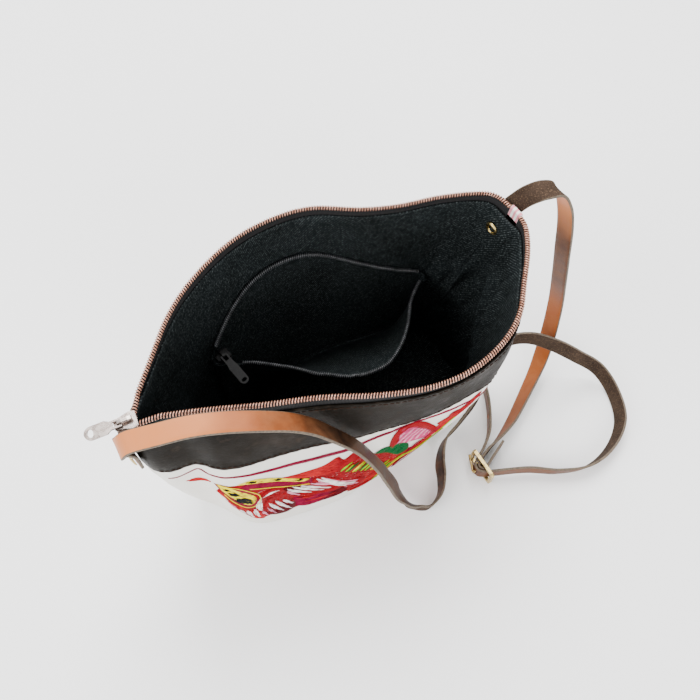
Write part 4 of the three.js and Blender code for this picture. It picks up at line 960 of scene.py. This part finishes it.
# Narrow leaves and streaks: start, end, width, bend, colour, raise
LEAVES = [
    ((16, 101), (33, 95), 5.5, 16, "coral", 0.1),
    ((33, 76), (38, 66), 3.4, 10, "white", 0.4), ((38, 62), (42, 50), 3.2, 10, "blush", 0.4),
    ((43, 52), (47, 38), 3.0, 10, "white", 0.4), ((48, 50), (51, 28), 3.0, 12, "white", 0.4),
    ((53, 52), (55, 27), 3.0, 14, "white", 0.4), ((57, 44), (61, 27), 2.6, 14, "blush", 0.42),
    ((38, 93), (43, 90), 4.4, 0, "black", 0.58), ((41, 87), (48, 80), 7.0, 0, "black", 0.58),
    ((45, 78), (53, 63), 10.0, 0, "black", 0.58), ((53, 101), (61, 97), 3.8, 0, "black", 0.58),
    ((70, 92), (77, 86), 4.0, 0, "black", 0.58), ((85, 79), (92, 74), 4.0, 0, "black", 0.58),
    ((57, 44), (60, 72), 4.0, -34, "white", 0.56), ((60, 68), (73, 70), 3.4, -50, "white", 0.56),
    ((63, 54), (73, 28), 3.2, 16, "white", 0.56), ((68, 54), (79, 27), 3.2, 14, "white", 0.56),
    ((73, 52), (82, 34), 2.8, 12, "white", 0.56), ((61, 46), (67, 28), 2.4, 14, "blush", 0.56),
    ((78, 68), (96, 46), 3.4, 22, "white", 0.6), ((82, 69), (106, 43), 3.2, 20, "white", 0.6),
    ((87, 67), (115, 41), 3.0, 18, "white", 0.6), ((94, 65), (121, 44), 2.8, 14, "blush", 0.6),
    ((77, 66), (88, 46), 2.6, 20, "blush", 0.6),
    ((99, 70), (124, 41), 3.0, 10, "white", 0.62), ((103, 70), (136, 26), 3.0, 12, "white", 0.62),
    ((108, 58), (128, 30), 2.6, 10, "white", 0.62),
    ((84, 42), (102, 34), 2.2, 12, "coral", 0.44), ((90, 30), (118, 27), 2.2, 8, "coral", 0.44),
    ((126, 16), (158, 5), 5.0, 10, "red", 0.3), ((136, 22), (172, 7), 5.0, 10, "coral", 0.34),
    ((148, 24), (186, 8), 5.0, 10, "red", 0.3), ((156, 34), (196, 14), 4.4, 10, "coral", 0.34),
    ((180, 24), (196, 44), 5.0, -12, "red", 0.46), ((170, 14), (190, 32), 4.4, -12, "deep", 0.44),
]

# Strokes of the fern: start of the fan, end of the fan, and length of each stroke
FERN = ((118, 66), (158, 18), 19.0)
FERN_COLOURS = ("lime", "red", "lime", "green", "coral", "yellow", "lime", "red", "green")
FERN_STROKES = 22

STRIPE = [(6, 111), (14, 112), (20, 113), (26, 115), (31, 109), (38, 110), (48, 111), (60, 109),
          (72, 106), (85, 105), (98, 104), (110, 105), (124, 106), (134, 109), (143, 111),
          (153, 112), (158, 116)]
STRIPE_RIGHT = [(156, 116), (163, 119), (172, 118), (184, 114), (197, 108), (212, 105),
                (236, 106), (262, 108), (298, 110)]
STRIPE_BACK = [(3, 110), (40, 108), (90, 111), (140, 107), (190, 111), (240, 108), (300, 111)]
STEMS = [
    ([(170, 5), (178, 16), (181, 32), (186, 43), (195, 48), (203, 56)], 3, "magenta"),
    ([(172, 4), (190, 10), (203, 28), (208, 46)], 2, "magenta"),
    ([(150, 8), (162, 18), (174, 28), (188, 24), (199, 28), (206, 46), (210, 70)], 2, "lime"),
    ([(164, 14), (176, 24), (190, 20), (201, 26)], 1, "yellow"),
    ([(37, 98), (46, 95), (53, 87), (58, 77), (58, 66), (54, 58), (48, 58), (42, 70), (38, 82)],
     1, "yellow"),
    ([(54, 90), (60, 86), (68, 80), (75, 75), (84, 70), (95, 64)], 1, "yellow"),
]
# Sprigs on the sides that the photo hides: place, heading and size
SIDE_SPRIGS = [
    (226, 26, 76, 1.5), (240, 62, 96, 1.3), (228, 88, 70, 1.0), (256, 30, 84, 1.5),
    (268, 70, 100, 1.2), (284, 32, 78, 1.4), (290, 84, 92, 1.0), (254, 92, 80, 0.9),
]


def fern():
    """A fan of narrow strokes in lime, green, yellow and red."""
    (u0, z0), (u1, z1), length = FERN
    rows = []
    for k in range(FERN_STROKES):
        share = k / (FERN_STROKES - 1)
        at = (u0 + (u1 - u0) * share, z0 + (z1 - z0) * share)
        turn = math.radians(52 - 16 * share + rng.uniform(-3, 3))
        reach = length * (1 - 0.3 * abs(share - 0.45)) * rng.uniform(0.85, 1.1)
        end = (at[0] + reach * math.cos(turn), at[1] + reach * math.sin(turn))
        rows += lens(at, end, 2.6, -8, FERN_COLOURS[k % len(FERN_COLOURS)], 0.46 + 0.06 * (k % 2))
    return rows


def sprig(u, z, size, heading):
    """A small spray of two leaves and a bud, for the sides that the photo hides."""
    rows = petal_threads(u, z, heading, 16 * size, 5 * size, 20, streaked("red", "blush", 2), 0.1)
    rows += petal_threads(u, z, heading + 50, 12 * size, 3.5 * size, -20, plain("lime"), 0.1)
    rows += petal_threads(u, z, heading - 50, 12 * size, 3.5 * size, 20, plain("green"), 0.1)
    return rows


def thread_mesh(name, rows, side_start, slot):
    """Each thread as a low rounded strip on the panel, all in one mesh."""
    wide, high = 0.66, 0.34
    section = np.array([(-0.5, 0.0), (-0.34, 0.75), (0.0, 1.0), (0.34, 0.75), (0.5, 0.0)])
    us = np.concatenate([r[0] for r in rows])
    zs = np.concatenate([r[1] for r in rows])
    counts = np.array([len(r[0]) for r in rows])
    lift = np.repeat([r[2] for r in rows], counts)
    starts = np.r_[0, np.cumsum(counts)]
    du, dz = np.zeros(len(us)), np.zeros(len(us))
    for s, e in zip(starts, starts[1:]):
        du[s:e], dz[s:e] = np.gradient(us[s:e]), np.gradient(zs[s:e])
    norm = np.hypot(du, dz) + 1e-9
    du, dz = du / norm, dz / norm
    taper = np.ones(len(us))
    taper[starts[:-1]] = 0.55
    taper[starts[1:] - 1] = 0.55
    v = section[None, :, 0] * wide * taper[:, None]
    h = section[None, :, 1] * high * taper[:, None] - 0.06
    pu = us[:, None] - dz[:, None] * v
    pz = np.clip(zs[:, None] + du[:, None] * v, 1.0, CLOTH_HIGH - 0.4)
    around = side_start + np.clip(pu, 2.0, GIRTH / 2 - 3.0) / GIRTH
    relief = cloth_relief(around, pz) * np.clip(pz / 12, 0, 1)
    points = wall(around, pz, relief + lift[:, None] + h)
    size = section.shape[0]
    faces, colours = [], []
    for (_, _, _, names), s, e in zip(rows, starts, starts[1:]):
        for k in range(s, e - 1):
            colour = THREAD_NAMES.index(names[k - s])
            for j in range(size - 1):
                a = k * size + j
                faces.append((a, a + 1, a + 1 + size, a + size))
                colours.append(colour)
            faces.append((k * size + size - 1, k * size, (k + 1) * size, (k + 1) * size + size - 1))
            colours.append(colour)
        for k, names_at, order in ((s, 0, 1), (e - 1, -1, -1)):
            cap = tuple(k * size + j for j in range(size))[::order]
            faces.append(cap)
            colours.append(THREAD_NAMES.index(names[names_at]))
    return mesh_object(name, points, faces, THREAD_MATERIALS, face_material=colours, slot=slot)


front_rows = []
for shape, heading, paint, lift in FIELDS:
    front_rows += patch(shape, heading, paint, lift)
for start, end, width, bend, colour, lift in LEAVES:
    front_rows += lens(start, end, width, bend, colour, lift)
front_rows += fern()
for points, strands, colour in STEMS:
    front_rows += line_threads(points, strands, colour=colour, raise_by=0.72)
front_rows += satin_line(STRIPE, (1.4, 1.8, 3.2, 4.6, 5.6, 6.4, 6.0), "magenta")
front_rows += satin_line(STRIPE_RIGHT, (2.6, 5.6, 5.2, 5.0, 5.0), "magenta")
for u, z, heading, size in SIDE_SPRIGS:
    front_rows += sprig(u, z, size, heading)
thread_mesh("embroidery_front", front_rows, 0.0, "embroidered_cotton")

back_rows = satin_line(STRIPE_BACK, (3.0, 3.2, 2.8, 3.2), "magenta")
for k in range(7):
    back_rows += sprig(26 + 42 * k, 62 + 14 * (k % 2), 1.5, 70 + 30 * (k % 2))
    back_rows += sprig(40 + 40 * k, 24 + 8 * (k % 2), 1.2, 100 - 24 * (k % 2))
thread_mesh("embroidery_back", back_rows, 0.5, "cotton")

# Lining: a loose bag with a floor


def bag_faces(rows, columns):
    """Faces of a closed bag between an outer and an inner skin, floors included."""
    skin = rows * columns
    faces = []
    for r in range(rows - 1):
        for c in range(columns):
            n = (c + 1) % columns
            outer = (r * columns + c, r * columns + n, (r + 1) * columns + n, (r + 1) * columns + c)
            faces.append(outer)
            faces.append(tuple(skin + v for v in outer[::-1]))
    top = (rows - 1) * columns
    for c in range(columns):
        n = (c + 1) % columns
        faces.append((top + c, top + n, skin + top + n, skin + top + c))
    for base in (0, skin):
        for c in range(columns // 2):
            ring = (c, c + 1, (columns - c - 1) % columns, (columns - c) % columns)
            corners = tuple(dict.fromkeys(base + v for v in ring))
            if len(corners) > 2:
                faces.append(corners)
    return faces


def lining_relief(around, z):
    u = around * GIRTH
    right = np.exp(-((around - 0.49) / 0.055) ** 2)
    hang = np.clip((LINING_TOP - z) / 60, 0, 1)
    gathers = (0.5 + 6.5 * right * hang) * patchy((u + 0.35 * z) / 9, z / 42, 31)
    crumple = 0.6 * patchy(u / 23, z / 19, 33)
    hem = np.clip((LINING_TOP - z) / 10, 0, 1) * np.clip((z - LINING_FLOOR) / 10, 0, 1)
    return -np.abs(gathers + crumple) * hem


def lining_bag():
    columns, rows = 420, 84
    around = np.arange(columns) / columns
    heights = np.linspace(0, 1, rows) ** 0.95
    skins = []
    for out, low in ((LINING_OUT, LINING_FLOOR), (LINING_IN, LINING_FLOOR + LINING)):
        z = low + (LINING_TOP - low) * heights
        a, z2 = np.meshgrid(around, z)
        skins.append((wall(a, z2, out + lining_relief(a, z2), True), a, z2))
    points = np.concatenate([s[0].reshape(-1, 3) for s in skins])
    uv = np.concatenate([np.stack([s[1] * GIRTH * MM, s[2] * MM], -1).reshape(-1, 2)
                         for s in skins])
    made = mesh_object("lining_bag", points, bag_faces(rows, columns), [TWILL], uv=uv,
                       slot="lining_cloth")
    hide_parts("lining")
    return made


lining_bag()

# Zip at the mouth

TAB_SHARE = TAB_LENGTH / 2 / GIRTH
SLIDER_LENGTH = 12.0
SLIDER_NECK = 1.1
THROAT_DEPTH = 1.6
SLIDER_SETBACK = 1.2
PULL_YAW = 8.0


def throat(side):
    """Where one row of teeth enters the slider."""
    turn = math.radians(180 - PULL_YAW)
    x = -SLIDER_LENGTH / 2 + THROAT_DEPTH
    y = side * (SLIDER_NECK / 2 + GAP + TEETH_WIDTH / 2)
    return np.array([-MOUTH_LENGTH / 2 + SLIDER_SETBACK + x * math.cos(turn) - y * math.sin(turn),
                     x * math.sin(turn) + y * math.cos(turn), HEIGHT])


def rim_line(start, end):
    around = np.linspace(start, end, 400)
    return wall(around, np.full(400, HEIGHT), TAPE_MID)


def coil_row(name, line, wide, high, wire, pitch, material, slot, *nodes):
    at, _ = evenly(line, pitch)
    up = np.tile((0.0, 0.0, 1.0), (len(at), 1))
    axes = frames_along(at, up)
    lean = axes.copy()
    lean[:, 1] = axes[:, 1] + 0.28 * axes[:, 0]
    template, faces = ring_template(wide / 2 - wire, high / 2 - wire, wire)
    points, copied = instances(template, faces, at, lean)
    made = mesh_object(name, points, copied, [material], slot=slot)
    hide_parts(*nodes)
    return made


tape_spans = {"front": (TEETH_START, 0.5 - TAB_SHARE), "back": (0.5 + TAB_SHARE, 1 - TEETH_START)}
for side, (start, end) in tape_spans.items():
    tape = wall_piece("zip_tape_cloth_" + side, start, end, 2.0,
                      edge_profile(TAPE_TOP - TAPE_HEIGHT, TAPE_TOP, TAPE_OUT, TAPE_IN, 8, 4, 3),
                      [TAPE_MATERIAL], slot="zip_tape")
    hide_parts("zip_tape_" + side)
    line = rim_line(start, end)
    line = np.vstack([throat(1), line]) if side == "front" else np.vstack([line, throat(-1)])
    coil_row("zip_coil_" + side, line, TEETH_WIDTH, TEETH_HEIGHT, 0.42, TEETH_PITCH, COPPER,
             "zip_coil", "zip_teeth_" + side)
    smooth, _ = evenly(line, 2.0)
    tube("zip_cord_" + side, smooth, np.tile((0.0, 0.0, 1.0), (len(smooth), 1)),
         TEETH_WIDTH - 1.5, TEETH_HEIGHT - 1.5, [TAPE_MATERIAL], slot="zip_tape")


def end_tab():
    """The striped cloth tab over the end of the zip."""
    s = Shader("tab_cloth", Roughness=0.9, Specular_IOR_Level=0.2)
    stripes = s.wave(95, "X", distortion=0.4)
    weave = s.wave(560, "Y", distortion=0.3)
    s.colour(s.ramp(stripes, (0.45, (0.85, 0.82, 0.78)), (0.6, (0.72, 0.25, 0.3))))
    s.bump(weave, 0.3, 0.0002)
    half = TAB_SHARE - GAP / GIRTH
    tab = wall_piece("zip_tab_cloth", 0.5 - half, 0.5 + half, 0.5,
                     edge_profile(BAND_HIGH + GAP, HEIGHT + TEETH_HEIGHT / 2, LEATHER_PROUD,
                                  TAPE_IN, 14, 8, 7), [s.material], slot="cotton")
    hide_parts("zip_end_tab")


end_tab()

# Inner zip pocket


def lip_shape(share, column):
    x = np.array([row[0] for row in POCKET_LIP_SHAPE])
    y = np.array([row[column] for row in POCKET_LIP_SHAPE])
    return smooth_steps(np.r_[x[0], x, x[-1]], np.r_[y[0], y, y[-1]], np.clip(share, 0, 1))


def pocket_lip(share):
    return POCKET_LIP + (POCKET_FAR_LIP - POCKET_LIP) * share


def pocket_around(share):
    return POCKET_LEFT + (POCKET_RIGHT - POCKET_LEFT) * share


def pocket_wall_point(share, level, off):
    lip = pocket_lip(share) + POCKET_LIP_RISE * np.sin(math.pi * share ** POCKET_LIP_LEAN)
    return wall(pocket_around(share), POCKET_LOW + level * (lip - POCKET_LOW),
                POCKET_OFFSET - off, True)


def pocket_free_point(share, level, off):
    lip = pocket_lip(share) - lip_shape(share, 2) * POCKET_DEPTH
    opening = POCKET_OPENING * lip_shape(share, 1) * level ** POCKET_SWELL
    folds = 1.1 * level * np.sin(math.pi * np.clip(share, 0, 1)) * patchy(share * 15, level * 3, 41)
    return wall(pocket_around(share), POCKET_LOW + level * (lip - POCKET_LOW),
                POCKET_OFFSET - POCKET_SLACK - opening + off + folds, True)


def pocket_pouch():
    steps, rows = 110, 40

    def ring(level, skin):
        inset = skin * POCKET_END_INSET
        off = skin * POCKET_CLOTH
        share = inset + (1 - 2 * inset) * np.arange(1, steps) / steps
        corners = [pocket_wall_point(np.array([s]), level, POCKET_SLACK / 2)
                   for s in (inset, 1 - inset)]
        free = pocket_free_point(share, np.full(share.shape, level), off)
        held = pocket_wall_point(share[::-1], np.full(share.shape, level), off)
        return np.vstack([corners[0], free, corners[1], held])

    levels = np.linspace(0, 1, rows)
    inner = np.maximum(levels, POCKET_CLOTH / POCKET_DEPTH)
    points = np.stack([ring(v, 0) for v in levels] + [ring(v, 1) for v in inner])
    columns = points.shape[1]
    across = np.broadcast_to(np.arange(columns) * 0.0016, points.shape[:2])
    uv = np.stack([across, points[..., 2] * MM], -1)
    made = mesh_object("pocket_cloth", points, bag_faces(rows, columns), [TWILL], uv=uv,
                       slot="lining_cloth")
    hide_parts("pocket_pouch")


pocket_pouch()
pocket_rise = np.array([0, 0, POCKET_TEETH / 2 + GAP])
for name, node, start, point_at, off in (
        ("pocket_coil_wall", "pocket_teeth_wall", POCKET_WALL_TEETH_START, pocket_wall_point,
         POCKET_TEETH / 2 + GAP),
        ("pocket_coil_lip", "pocket_teeth_lip", POCKET_LIP_TEETH_START, pocket_free_point,
         POCKET_CLOTH / 2)):
    share = np.linspace(start, POCKET_TEETH_END, 300)
    line = point_at(share, np.ones(share.shape), off)
    line = line + pocket_rise
    coil_row(name, line, POCKET_TEETH, POCKET_TEETH, 0.36, POCKET_PITCH, BLACK_COIL, "black_zip",
             node)
    smooth, _ = evenly(line, 2.0)
    tube(name + "_cord", smooth, np.tile((0.0, 0.0, 1.0), (len(smooth), 1)), POCKET_TEETH - 1.2,
         POCKET_TEETH - 1.2, [TAPE_MATERIAL], slot="black_zip")

# Straps


def centripetal(points, steps):
    """Points of a centripetal Catmull-Rom curve, with the same ends as three.js gives."""
    p = np.array(points, float)
    q = np.vstack([2 * p[0] - p[1], p, 2 * p[-1] - p[-2]])
    t = np.linspace(0, 1, steps, endpoint=False)[:, None]
    parts = []
    for a, b, c, d in zip(q, q[1:], q[2:], q[3:]):
        d0, d1, d2 = (max(np.linalg.norm(n - m) ** 0.5, 1e-4) for m, n in ((a, b), (b, c), (c, d)))
        t0 = ((b - a) / d0 - (c - a) / (d0 + d1) + (c - b) / d1) * d1
        t1 = ((c - b) / d1 - (d - b) / (d1 + d2) + (d - c) / d2) * d1
        cubic = (2 * b - 2 * c + t0 + t1) * t ** 3
        parts.append(cubic + (3 * c - 3 * b - 2 * t0 - t1) * t ** 2 + t0 * t + b)
    return np.vstack(parts + [p[-1:]])


def route_point(row):
    along, across, lift, width = row
    width = np.array(width, float)
    width /= np.linalg.norm(width)
    rise = abs(width[2]) * STRAP_WIDTH / 2
    rise += math.sqrt(max(0.0, 1 - width[2] ** 2)) * STRAP_THICKNESS / 2 + GAP
    at = (along * MOUTH_LENGTH / 2, across * MOUTH_OPENING / 2, lift * HEIGHT + rise)
    return np.array(at), width


STRAP_OFFSET = LEATHER_PROUD + STRAP_STANDOFF + STRAP_THICKNESS / 2


def seam_point(around, level):
    one = np.array([around])
    normal = outward(one, np.array([level]))[0]
    at = wall(one, np.array([level * HEIGHT]), STRAP_OFFSET)[0]
    return at, np.array([normal[1], -normal[0], 0.0])


BUCKLE_HEIGHT = STRAP_WIDTH + 2 * (BUCKLE_WIRE + BUCKLE_CLEARANCE)
BUCKLE = np.array([BUCKLE_ALONG * MOUTH_LENGTH / 2, BUCKLE_ACROSS * MOUTH_OPENING / 2,
                   BUCKLE_HEIGHT / 2 + GAP])
FOLD_RADIUS = BUCKLE_WIRE * math.sqrt(0.5) + GAP + STRAP_THICKNESS / 2
TURN_RADIUS = FOLD_RADIUS + STRAP_THICKNESS + 2 * GAP
SLOPE = math.radians(FOLD_SLOPE)


def round_bar(turn, radius, width):
    at = BUCKLE + radius * np.array([math.cos(turn), math.sin(turn), 0])
    return at, np.array([0.0, 0.0, width])


def lane(side, reach, width):
    at, way = round_bar(SLOPE + side * math.pi / 2, FOLD_RADIUS, width)
    return at + reach * np.array([math.cos(SLOPE), math.sin(SLOPE), 0]), way


turn_from = -math.pi / 2 - SLOPE
turn_to = -1.5 * math.pi + SLOPE
quarters = (0, 0.25, 0.5, 0.75, 1)
long_turn = [round_bar(turn_from + (turn_to - turn_from) * q, TURN_RADIUS, -1) for q in quarters]
fold_turn = [round_bar(SLOPE + math.pi / 2 + math.pi * q, FOLD_RADIUS, 1) for q in quarters]
long_route = ([seam_point(0, v) for v in LEFT_STRAP_ROOT] + [route_point(r) for r in LONG_STRAP]
              + long_turn + [route_point(r) for r in STRAP_TAIL])
short_route = ([seam_point(0.5 + RIVET_OFF_SEAM, v) for v in RIGHT_STRAP_ROOT]
               + [route_point(r) for r in SHORT_STRAP] + [lane(1, FOLD_BACK / 2, 1)] + fold_turn
               + [lane(-1, FOLD_BACK / 2, 1), lane(-1, FOLD_BACK, 1)])


def strap_section():
    """Rounded section of the strap: across, thickness, and which face each side is."""
    w, h, r = STRAP_WIDTH / 2, STRAP_THICKNESS / 2, 0.5
    points, faces = [], []
    for cx, cy, start, flat_face in ((w - r, h - r, 0, "grain"), (-w + r, h - r, 90, "edge"),
                                     (-w + r, -h + r, 180, "flesh"), (w - r, -h + r, 270, "edge")):
        for k in range(3):
            turn = math.radians(start + 45 * k)
            points.append((cx + r * math.cos(turn), cy + r * math.sin(turn)))
            faces.append(flat_face if k == 2 else "edge")
        if flat_face in ("grain", "flesh"):
            way = -1 if flat_face == "grain" else 1
            for share in (0.2, 0.5, 0.8):
                points.append((-way * (w - r) * (1 - 2 * share), cy + math.copysign(r, cy)))
                faces.append(flat_face)
    return np.array(points), faces


def strap(name, route, node, grain_material):
    steps = 12
    centre = centripetal([p for p, _ in route], steps)
    width = centripetal([w for _, w in route], steps)
    along = np.gradient(centre, axis=0)
    along /= np.linalg.norm(along, axis=1, keepdims=True)
    width = width - along * (width * along).sum(1, keepdims=True)
    width /= np.linalg.norm(width, axis=1, keepdims=True)
    grain = np.cross(along, width)
    section, kinds = strap_section()
    points = (centre[:, None] + width[:, None] * section[None, :, :1]
              + grain[:, None] * section[None, :, 1:])
    rings, size = points.shape[:2]
    order = {"grain": 0, "flesh": 1, "edge": 2}
    face_material = [order[k] for _ in range(rings - 1) for k in kinds] + [2, 2]
    run = np.r_[0, np.cumsum(np.linalg.norm(np.diff(centre, axis=0), axis=1))]
    uv = np.stack([np.broadcast_to(run[:, None] * MM, (rings, size)),
                   np.broadcast_to(section[None, :, 0] * MM, (rings, size))], -1)
    made = mesh_object(name, points, loft_faces(rings, size), [grain_material, FLESH, EDGE],
                       face_material=face_material, uv=uv, slot="strap_leather")
    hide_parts(node)
    return made


def pin_mesh(start, end, radius):
    """A closed cylinder between two points, used as a punch."""
    work = bmesh.new()
    run = Vector(end) - Vector(start)
    turn = run.to_track_quat("Z", "Y").to_matrix().to_4x4()
    place = Matrix.Translation((Vector(start) + Vector(end)) / 2 * MM) @ turn
    bmesh.ops.create_cone(work, cap_ends=True, segments=24, radius1=radius * MM,
                          radius2=radius * MM, depth=run.length * MM, matrix=place)
    mesh = bpy.data.meshes.new("punch")
    work.to_mesh(mesh)
    work.free()
    punch = bpy.data.objects.new("punch", mesh)
    bpy.context.scene.collection.objects.link(punch)
    return punch


def punched(made, pins):
    """Cuts the holes and keeps the result as the piece's own mesh."""
    punches = [pin_mesh(*pin) for pin in pins]
    for punch in punches:
        cutter = made.modifiers.new("hole", "BOOLEAN")
        cutter.operation = "DIFFERENCE"
        cutter.solver = "EXACT"
        cutter.object = punch
    bpy.context.view_layer.update()
    cut = bpy.data.meshes.new_from_object(
        made.evaluated_get(bpy.context.evaluated_depsgraph_get()))
    made.modifiers.clear()
    made.data = cut
    for punch in punches:
        bpy.data.objects.remove(punch)


PRONG_REACH = TURN_RADIUS + STRAP_THICKNESS / 2 + PRONG_RADIUS + 2 * GAP
prong_hole = (BUCKLE, BUCKLE - (PRONG_REACH + HOLE_RADIUS, 0, 0), HOLE_RADIUS)
hole_way = np.array([STRAP_THICKNESS * 2, -STRAP_THICKNESS, 0])
tail_holes = []
for row in (STRAP_TAIL[2], STRAP_TAIL[4]):
    at, _ = route_point(row)
    tail_holes.append((at - hole_way, at + hole_way, HOLE_RADIUS))
punched(strap("strap_leather_long", long_route, "strap_long", LONG_GRAIN),
        [prong_hole, *tail_holes])
punched(strap("strap_leather_short", short_route, "strap_short", SHORT_GRAIN), [prong_hole])

# Metal: kept solids with softened edges, and turned and bent pieces


def soften(node, material, width, segments=3):
    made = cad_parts[node]
    made.data.materials.clear()
    made.data.materials.append(material)
    edge = made.modifiers.new("edge", "BEVEL")
    edge.width = width * MM
    edge.segments = segments
    edge.limit_method = "ANGLE"
    edge.angle_limit = math.radians(30)
    made.data.shade_smooth()
    keep = made.modifiers.new("normals", "WEIGHTED_NORMAL")
    keep.keep_sharp = False


soften("zip_slider", NICKEL, 0.28)
soften("zip_pull", NICKEL, 0.3)
soften("pocket_slider", ENAMEL, 0.22)
soften("pocket_pull", ENAMEL, 0.25)
soften("buckle_frame", BRASS, 0.7, 4)


def prong():
    tip = BUCKLE + np.array([-BUCKLE_WIRE / 2 - GAP - PRONG_RADIUS, BUCKLE_LENGTH / 2, 0])
    root = BUCKLE - np.array([BUCKLE_WIRE / 2 + GAP, 0, 0])
    bend = BUCKLE - np.array([PRONG_REACH, 0, 0])
    corner = bend + (root - bend) * 0.25
    after = bend + (tip - bend) * 0.12
    line = centripetal([root, (root + corner) / 2, corner, bend + (0.15, 0.15, 0), after,
                        (after + tip) / 2, tip], 6)
    made = tube("buckle_tongue", line, np.tile((0.0, 0.0, 1.0), (len(line), 1)),
                2 * PRONG_RADIUS, 2 * PRONG_RADIUS, [BRASS], sides=14, slot="old_brass")
    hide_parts("buckle_prong")


prong()


def turned(name, profile, around, level, out, loose, node, closed):
    """A turned piece set square on the wall, from (radius, height) points."""
    one = np.array([around])
    normal = np.append(outward(one, np.array([level]))[0], 0.0)
    at = wall(one, np.array([level * HEIGHT]), out, loose)[0]
    side = np.cross((0, 0, 1), normal)
    p = np.array(profile)
    turn = np.linspace(0, 2 * math.pi, 40, endpoint=False)
    ring = np.cos(turn)[:, None] * side + np.sin(turn)[:, None] * np.array([0, 0, 1])
    points = at + ring[:, None, :] * p[None, :, :1] + normal * p[None, :, 1:]
    count = len(p)
    faces = []
    for r in range(40):
        n = (r + 1) % 40
        for k in range(count if closed else count - 1):
            m = (k + 1) % count
            faces.append((r * count + k, r * count + m, n * count + m, n * count + k))
    made = mesh_object(name, points, faces, [BRASS], slot="old_brass")
    work = bmesh.new()
    work.from_mesh(made.data)
    bmesh.ops.remove_doubles(work, verts=work.verts, dist=1e-6)
    bmesh.ops.recalc_face_normals(work, faces=work.faces)
    work.to_mesh(made.data)
    work.free()
    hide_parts(node)


lip = np.linspace(0, math.pi, 9)
mid_radius = (EYELET_RADIUS + EYELET_BORE) / 2
eyelet_round = [(mid_radius + math.cos(t) * (EYELET_RADIUS - EYELET_BORE) / 2,
                 -math.sin(t) * EYELET_DEPTH) for t in lip]
dome = [(CAP_RADIUS * math.cos(t), CAP_HEIGHT * math.sin(t) ** 0.8)
        for t in np.linspace(0, math.pi / 2, 9)]
dome = [(0, 0)] + dome[:-1] + [(0, CAP_HEIGHT)]
right_around = 0.5 + RIVET_OFF_SEAM
cap_out = STRAP_OFFSET + STRAP_THICKNESS / 2 + 2 * GAP
turned("eyelet_ring", eyelet_round, right_around, RIVET_LEVEL, LINING_IN - EYELET_STANDOFF, True,
       "eyelet", True)
turned("rivet_dome_right", dome, right_around, RIVET_LEVEL, cap_out, False, "rivet_cap_right", True)
turned("rivet_dome_left", dome, 0.0, LEFT_RIVET_LEVEL, cap_out, False, "rivet_cap_left", True)

# Floor, light and camera

FLOOR_REACH = 4.0
WORLD_STRENGTH = 1.5
# Lights: name, place, what it faces, size and power
LIGHTS = [
    ("sky", (0.45, 0.75, 1.5), (0, 0, 0.1), 1.0, 46),
    ("left", (-1.2, 0.1, 1.0), (0, 0, 0.08), 0.8, 16),
    ("front", (-0.2, -1.4, 0.9), (0, 0, 0.08), 0.8, 16),
]
# Camera of the photo: place, heading and tilt in degrees, focal length and frame in pixels
CAMERA_PLACE = (-0.100, -0.181, 0.5745)
CAMERA_HEADING, CAMERA_DOWN = 31.65, 65
FOCAL_PIXELS, FRAME_PIXELS, SENSOR = 800, 700, 36


def floor():
    mesh = bpy.data.meshes.new("floor")
    ways = ((-1, -1), (1, -1), (1, 1), (-1, 1))
    mesh.from_pydata([(x * FLOOR_REACH, y * FLOOR_REACH, 0) for x, y in ways], [], [(0, 1, 2, 3)])
    made = bpy.data.objects.new("floor", mesh)
    bpy.context.scene.collection.objects.link(made)
    s = Shader("paper", Roughness=0.9, Specular_IOR_Level=0.1)
    s.colour(s.ramp(s.noise(3, 2), (0.3, (0.93, 0.93, 0.93)), (0.7, (0.95, 0.95, 0.95))))
    mesh.materials.append(s.material)


def area_light(name, place, target, size, power):
    light = bpy.data.lights.new(name, "AREA")
    light.size = size
    light.energy = power
    made = bpy.data.objects.new(name, light)
    made.location = place
    made.rotation_mode = "QUATERNION"
    made.rotation_quaternion = (Vector(target) - Vector(place)).to_track_quat("-Z", "Y")
    bpy.context.scene.collection.objects.link(made)


def camera():
    heading, down = math.radians(CAMERA_HEADING), math.radians(CAMERA_DOWN)
    forward = Vector((math.sin(heading) * math.cos(down), math.cos(heading) * math.cos(down),
                      -math.sin(down)))
    right = Vector((math.cos(heading), -math.sin(heading), 0))
    up = right.cross(forward)
    data = bpy.data.cameras.new("camera")
    data.sensor_width = SENSOR
    data.lens = FOCAL_PIXELS / FRAME_PIXELS * SENSOR
    data.clip_start = 0.01
    made = bpy.data.objects.new("camera", data)
    axes = Matrix((right, up, -forward)).transposed().to_4x4()
    made.matrix_world = Matrix.Translation(CAMERA_PLACE) @ axes
    bpy.context.scene.collection.objects.link(made)
    bpy.context.scene.camera = made


floor()
for light in LIGHTS:
    area_light(*light)
world = bpy.data.worlds.new("studio")
world.use_nodes = True
world.node_tree.nodes["Background"].inputs["Color"].default_value = (1, 1, 1, 1)
world.node_tree.nodes["Background"].inputs["Strength"].default_value = WORLD_STRENGTH
bpy.context.scene.world = world
camera()
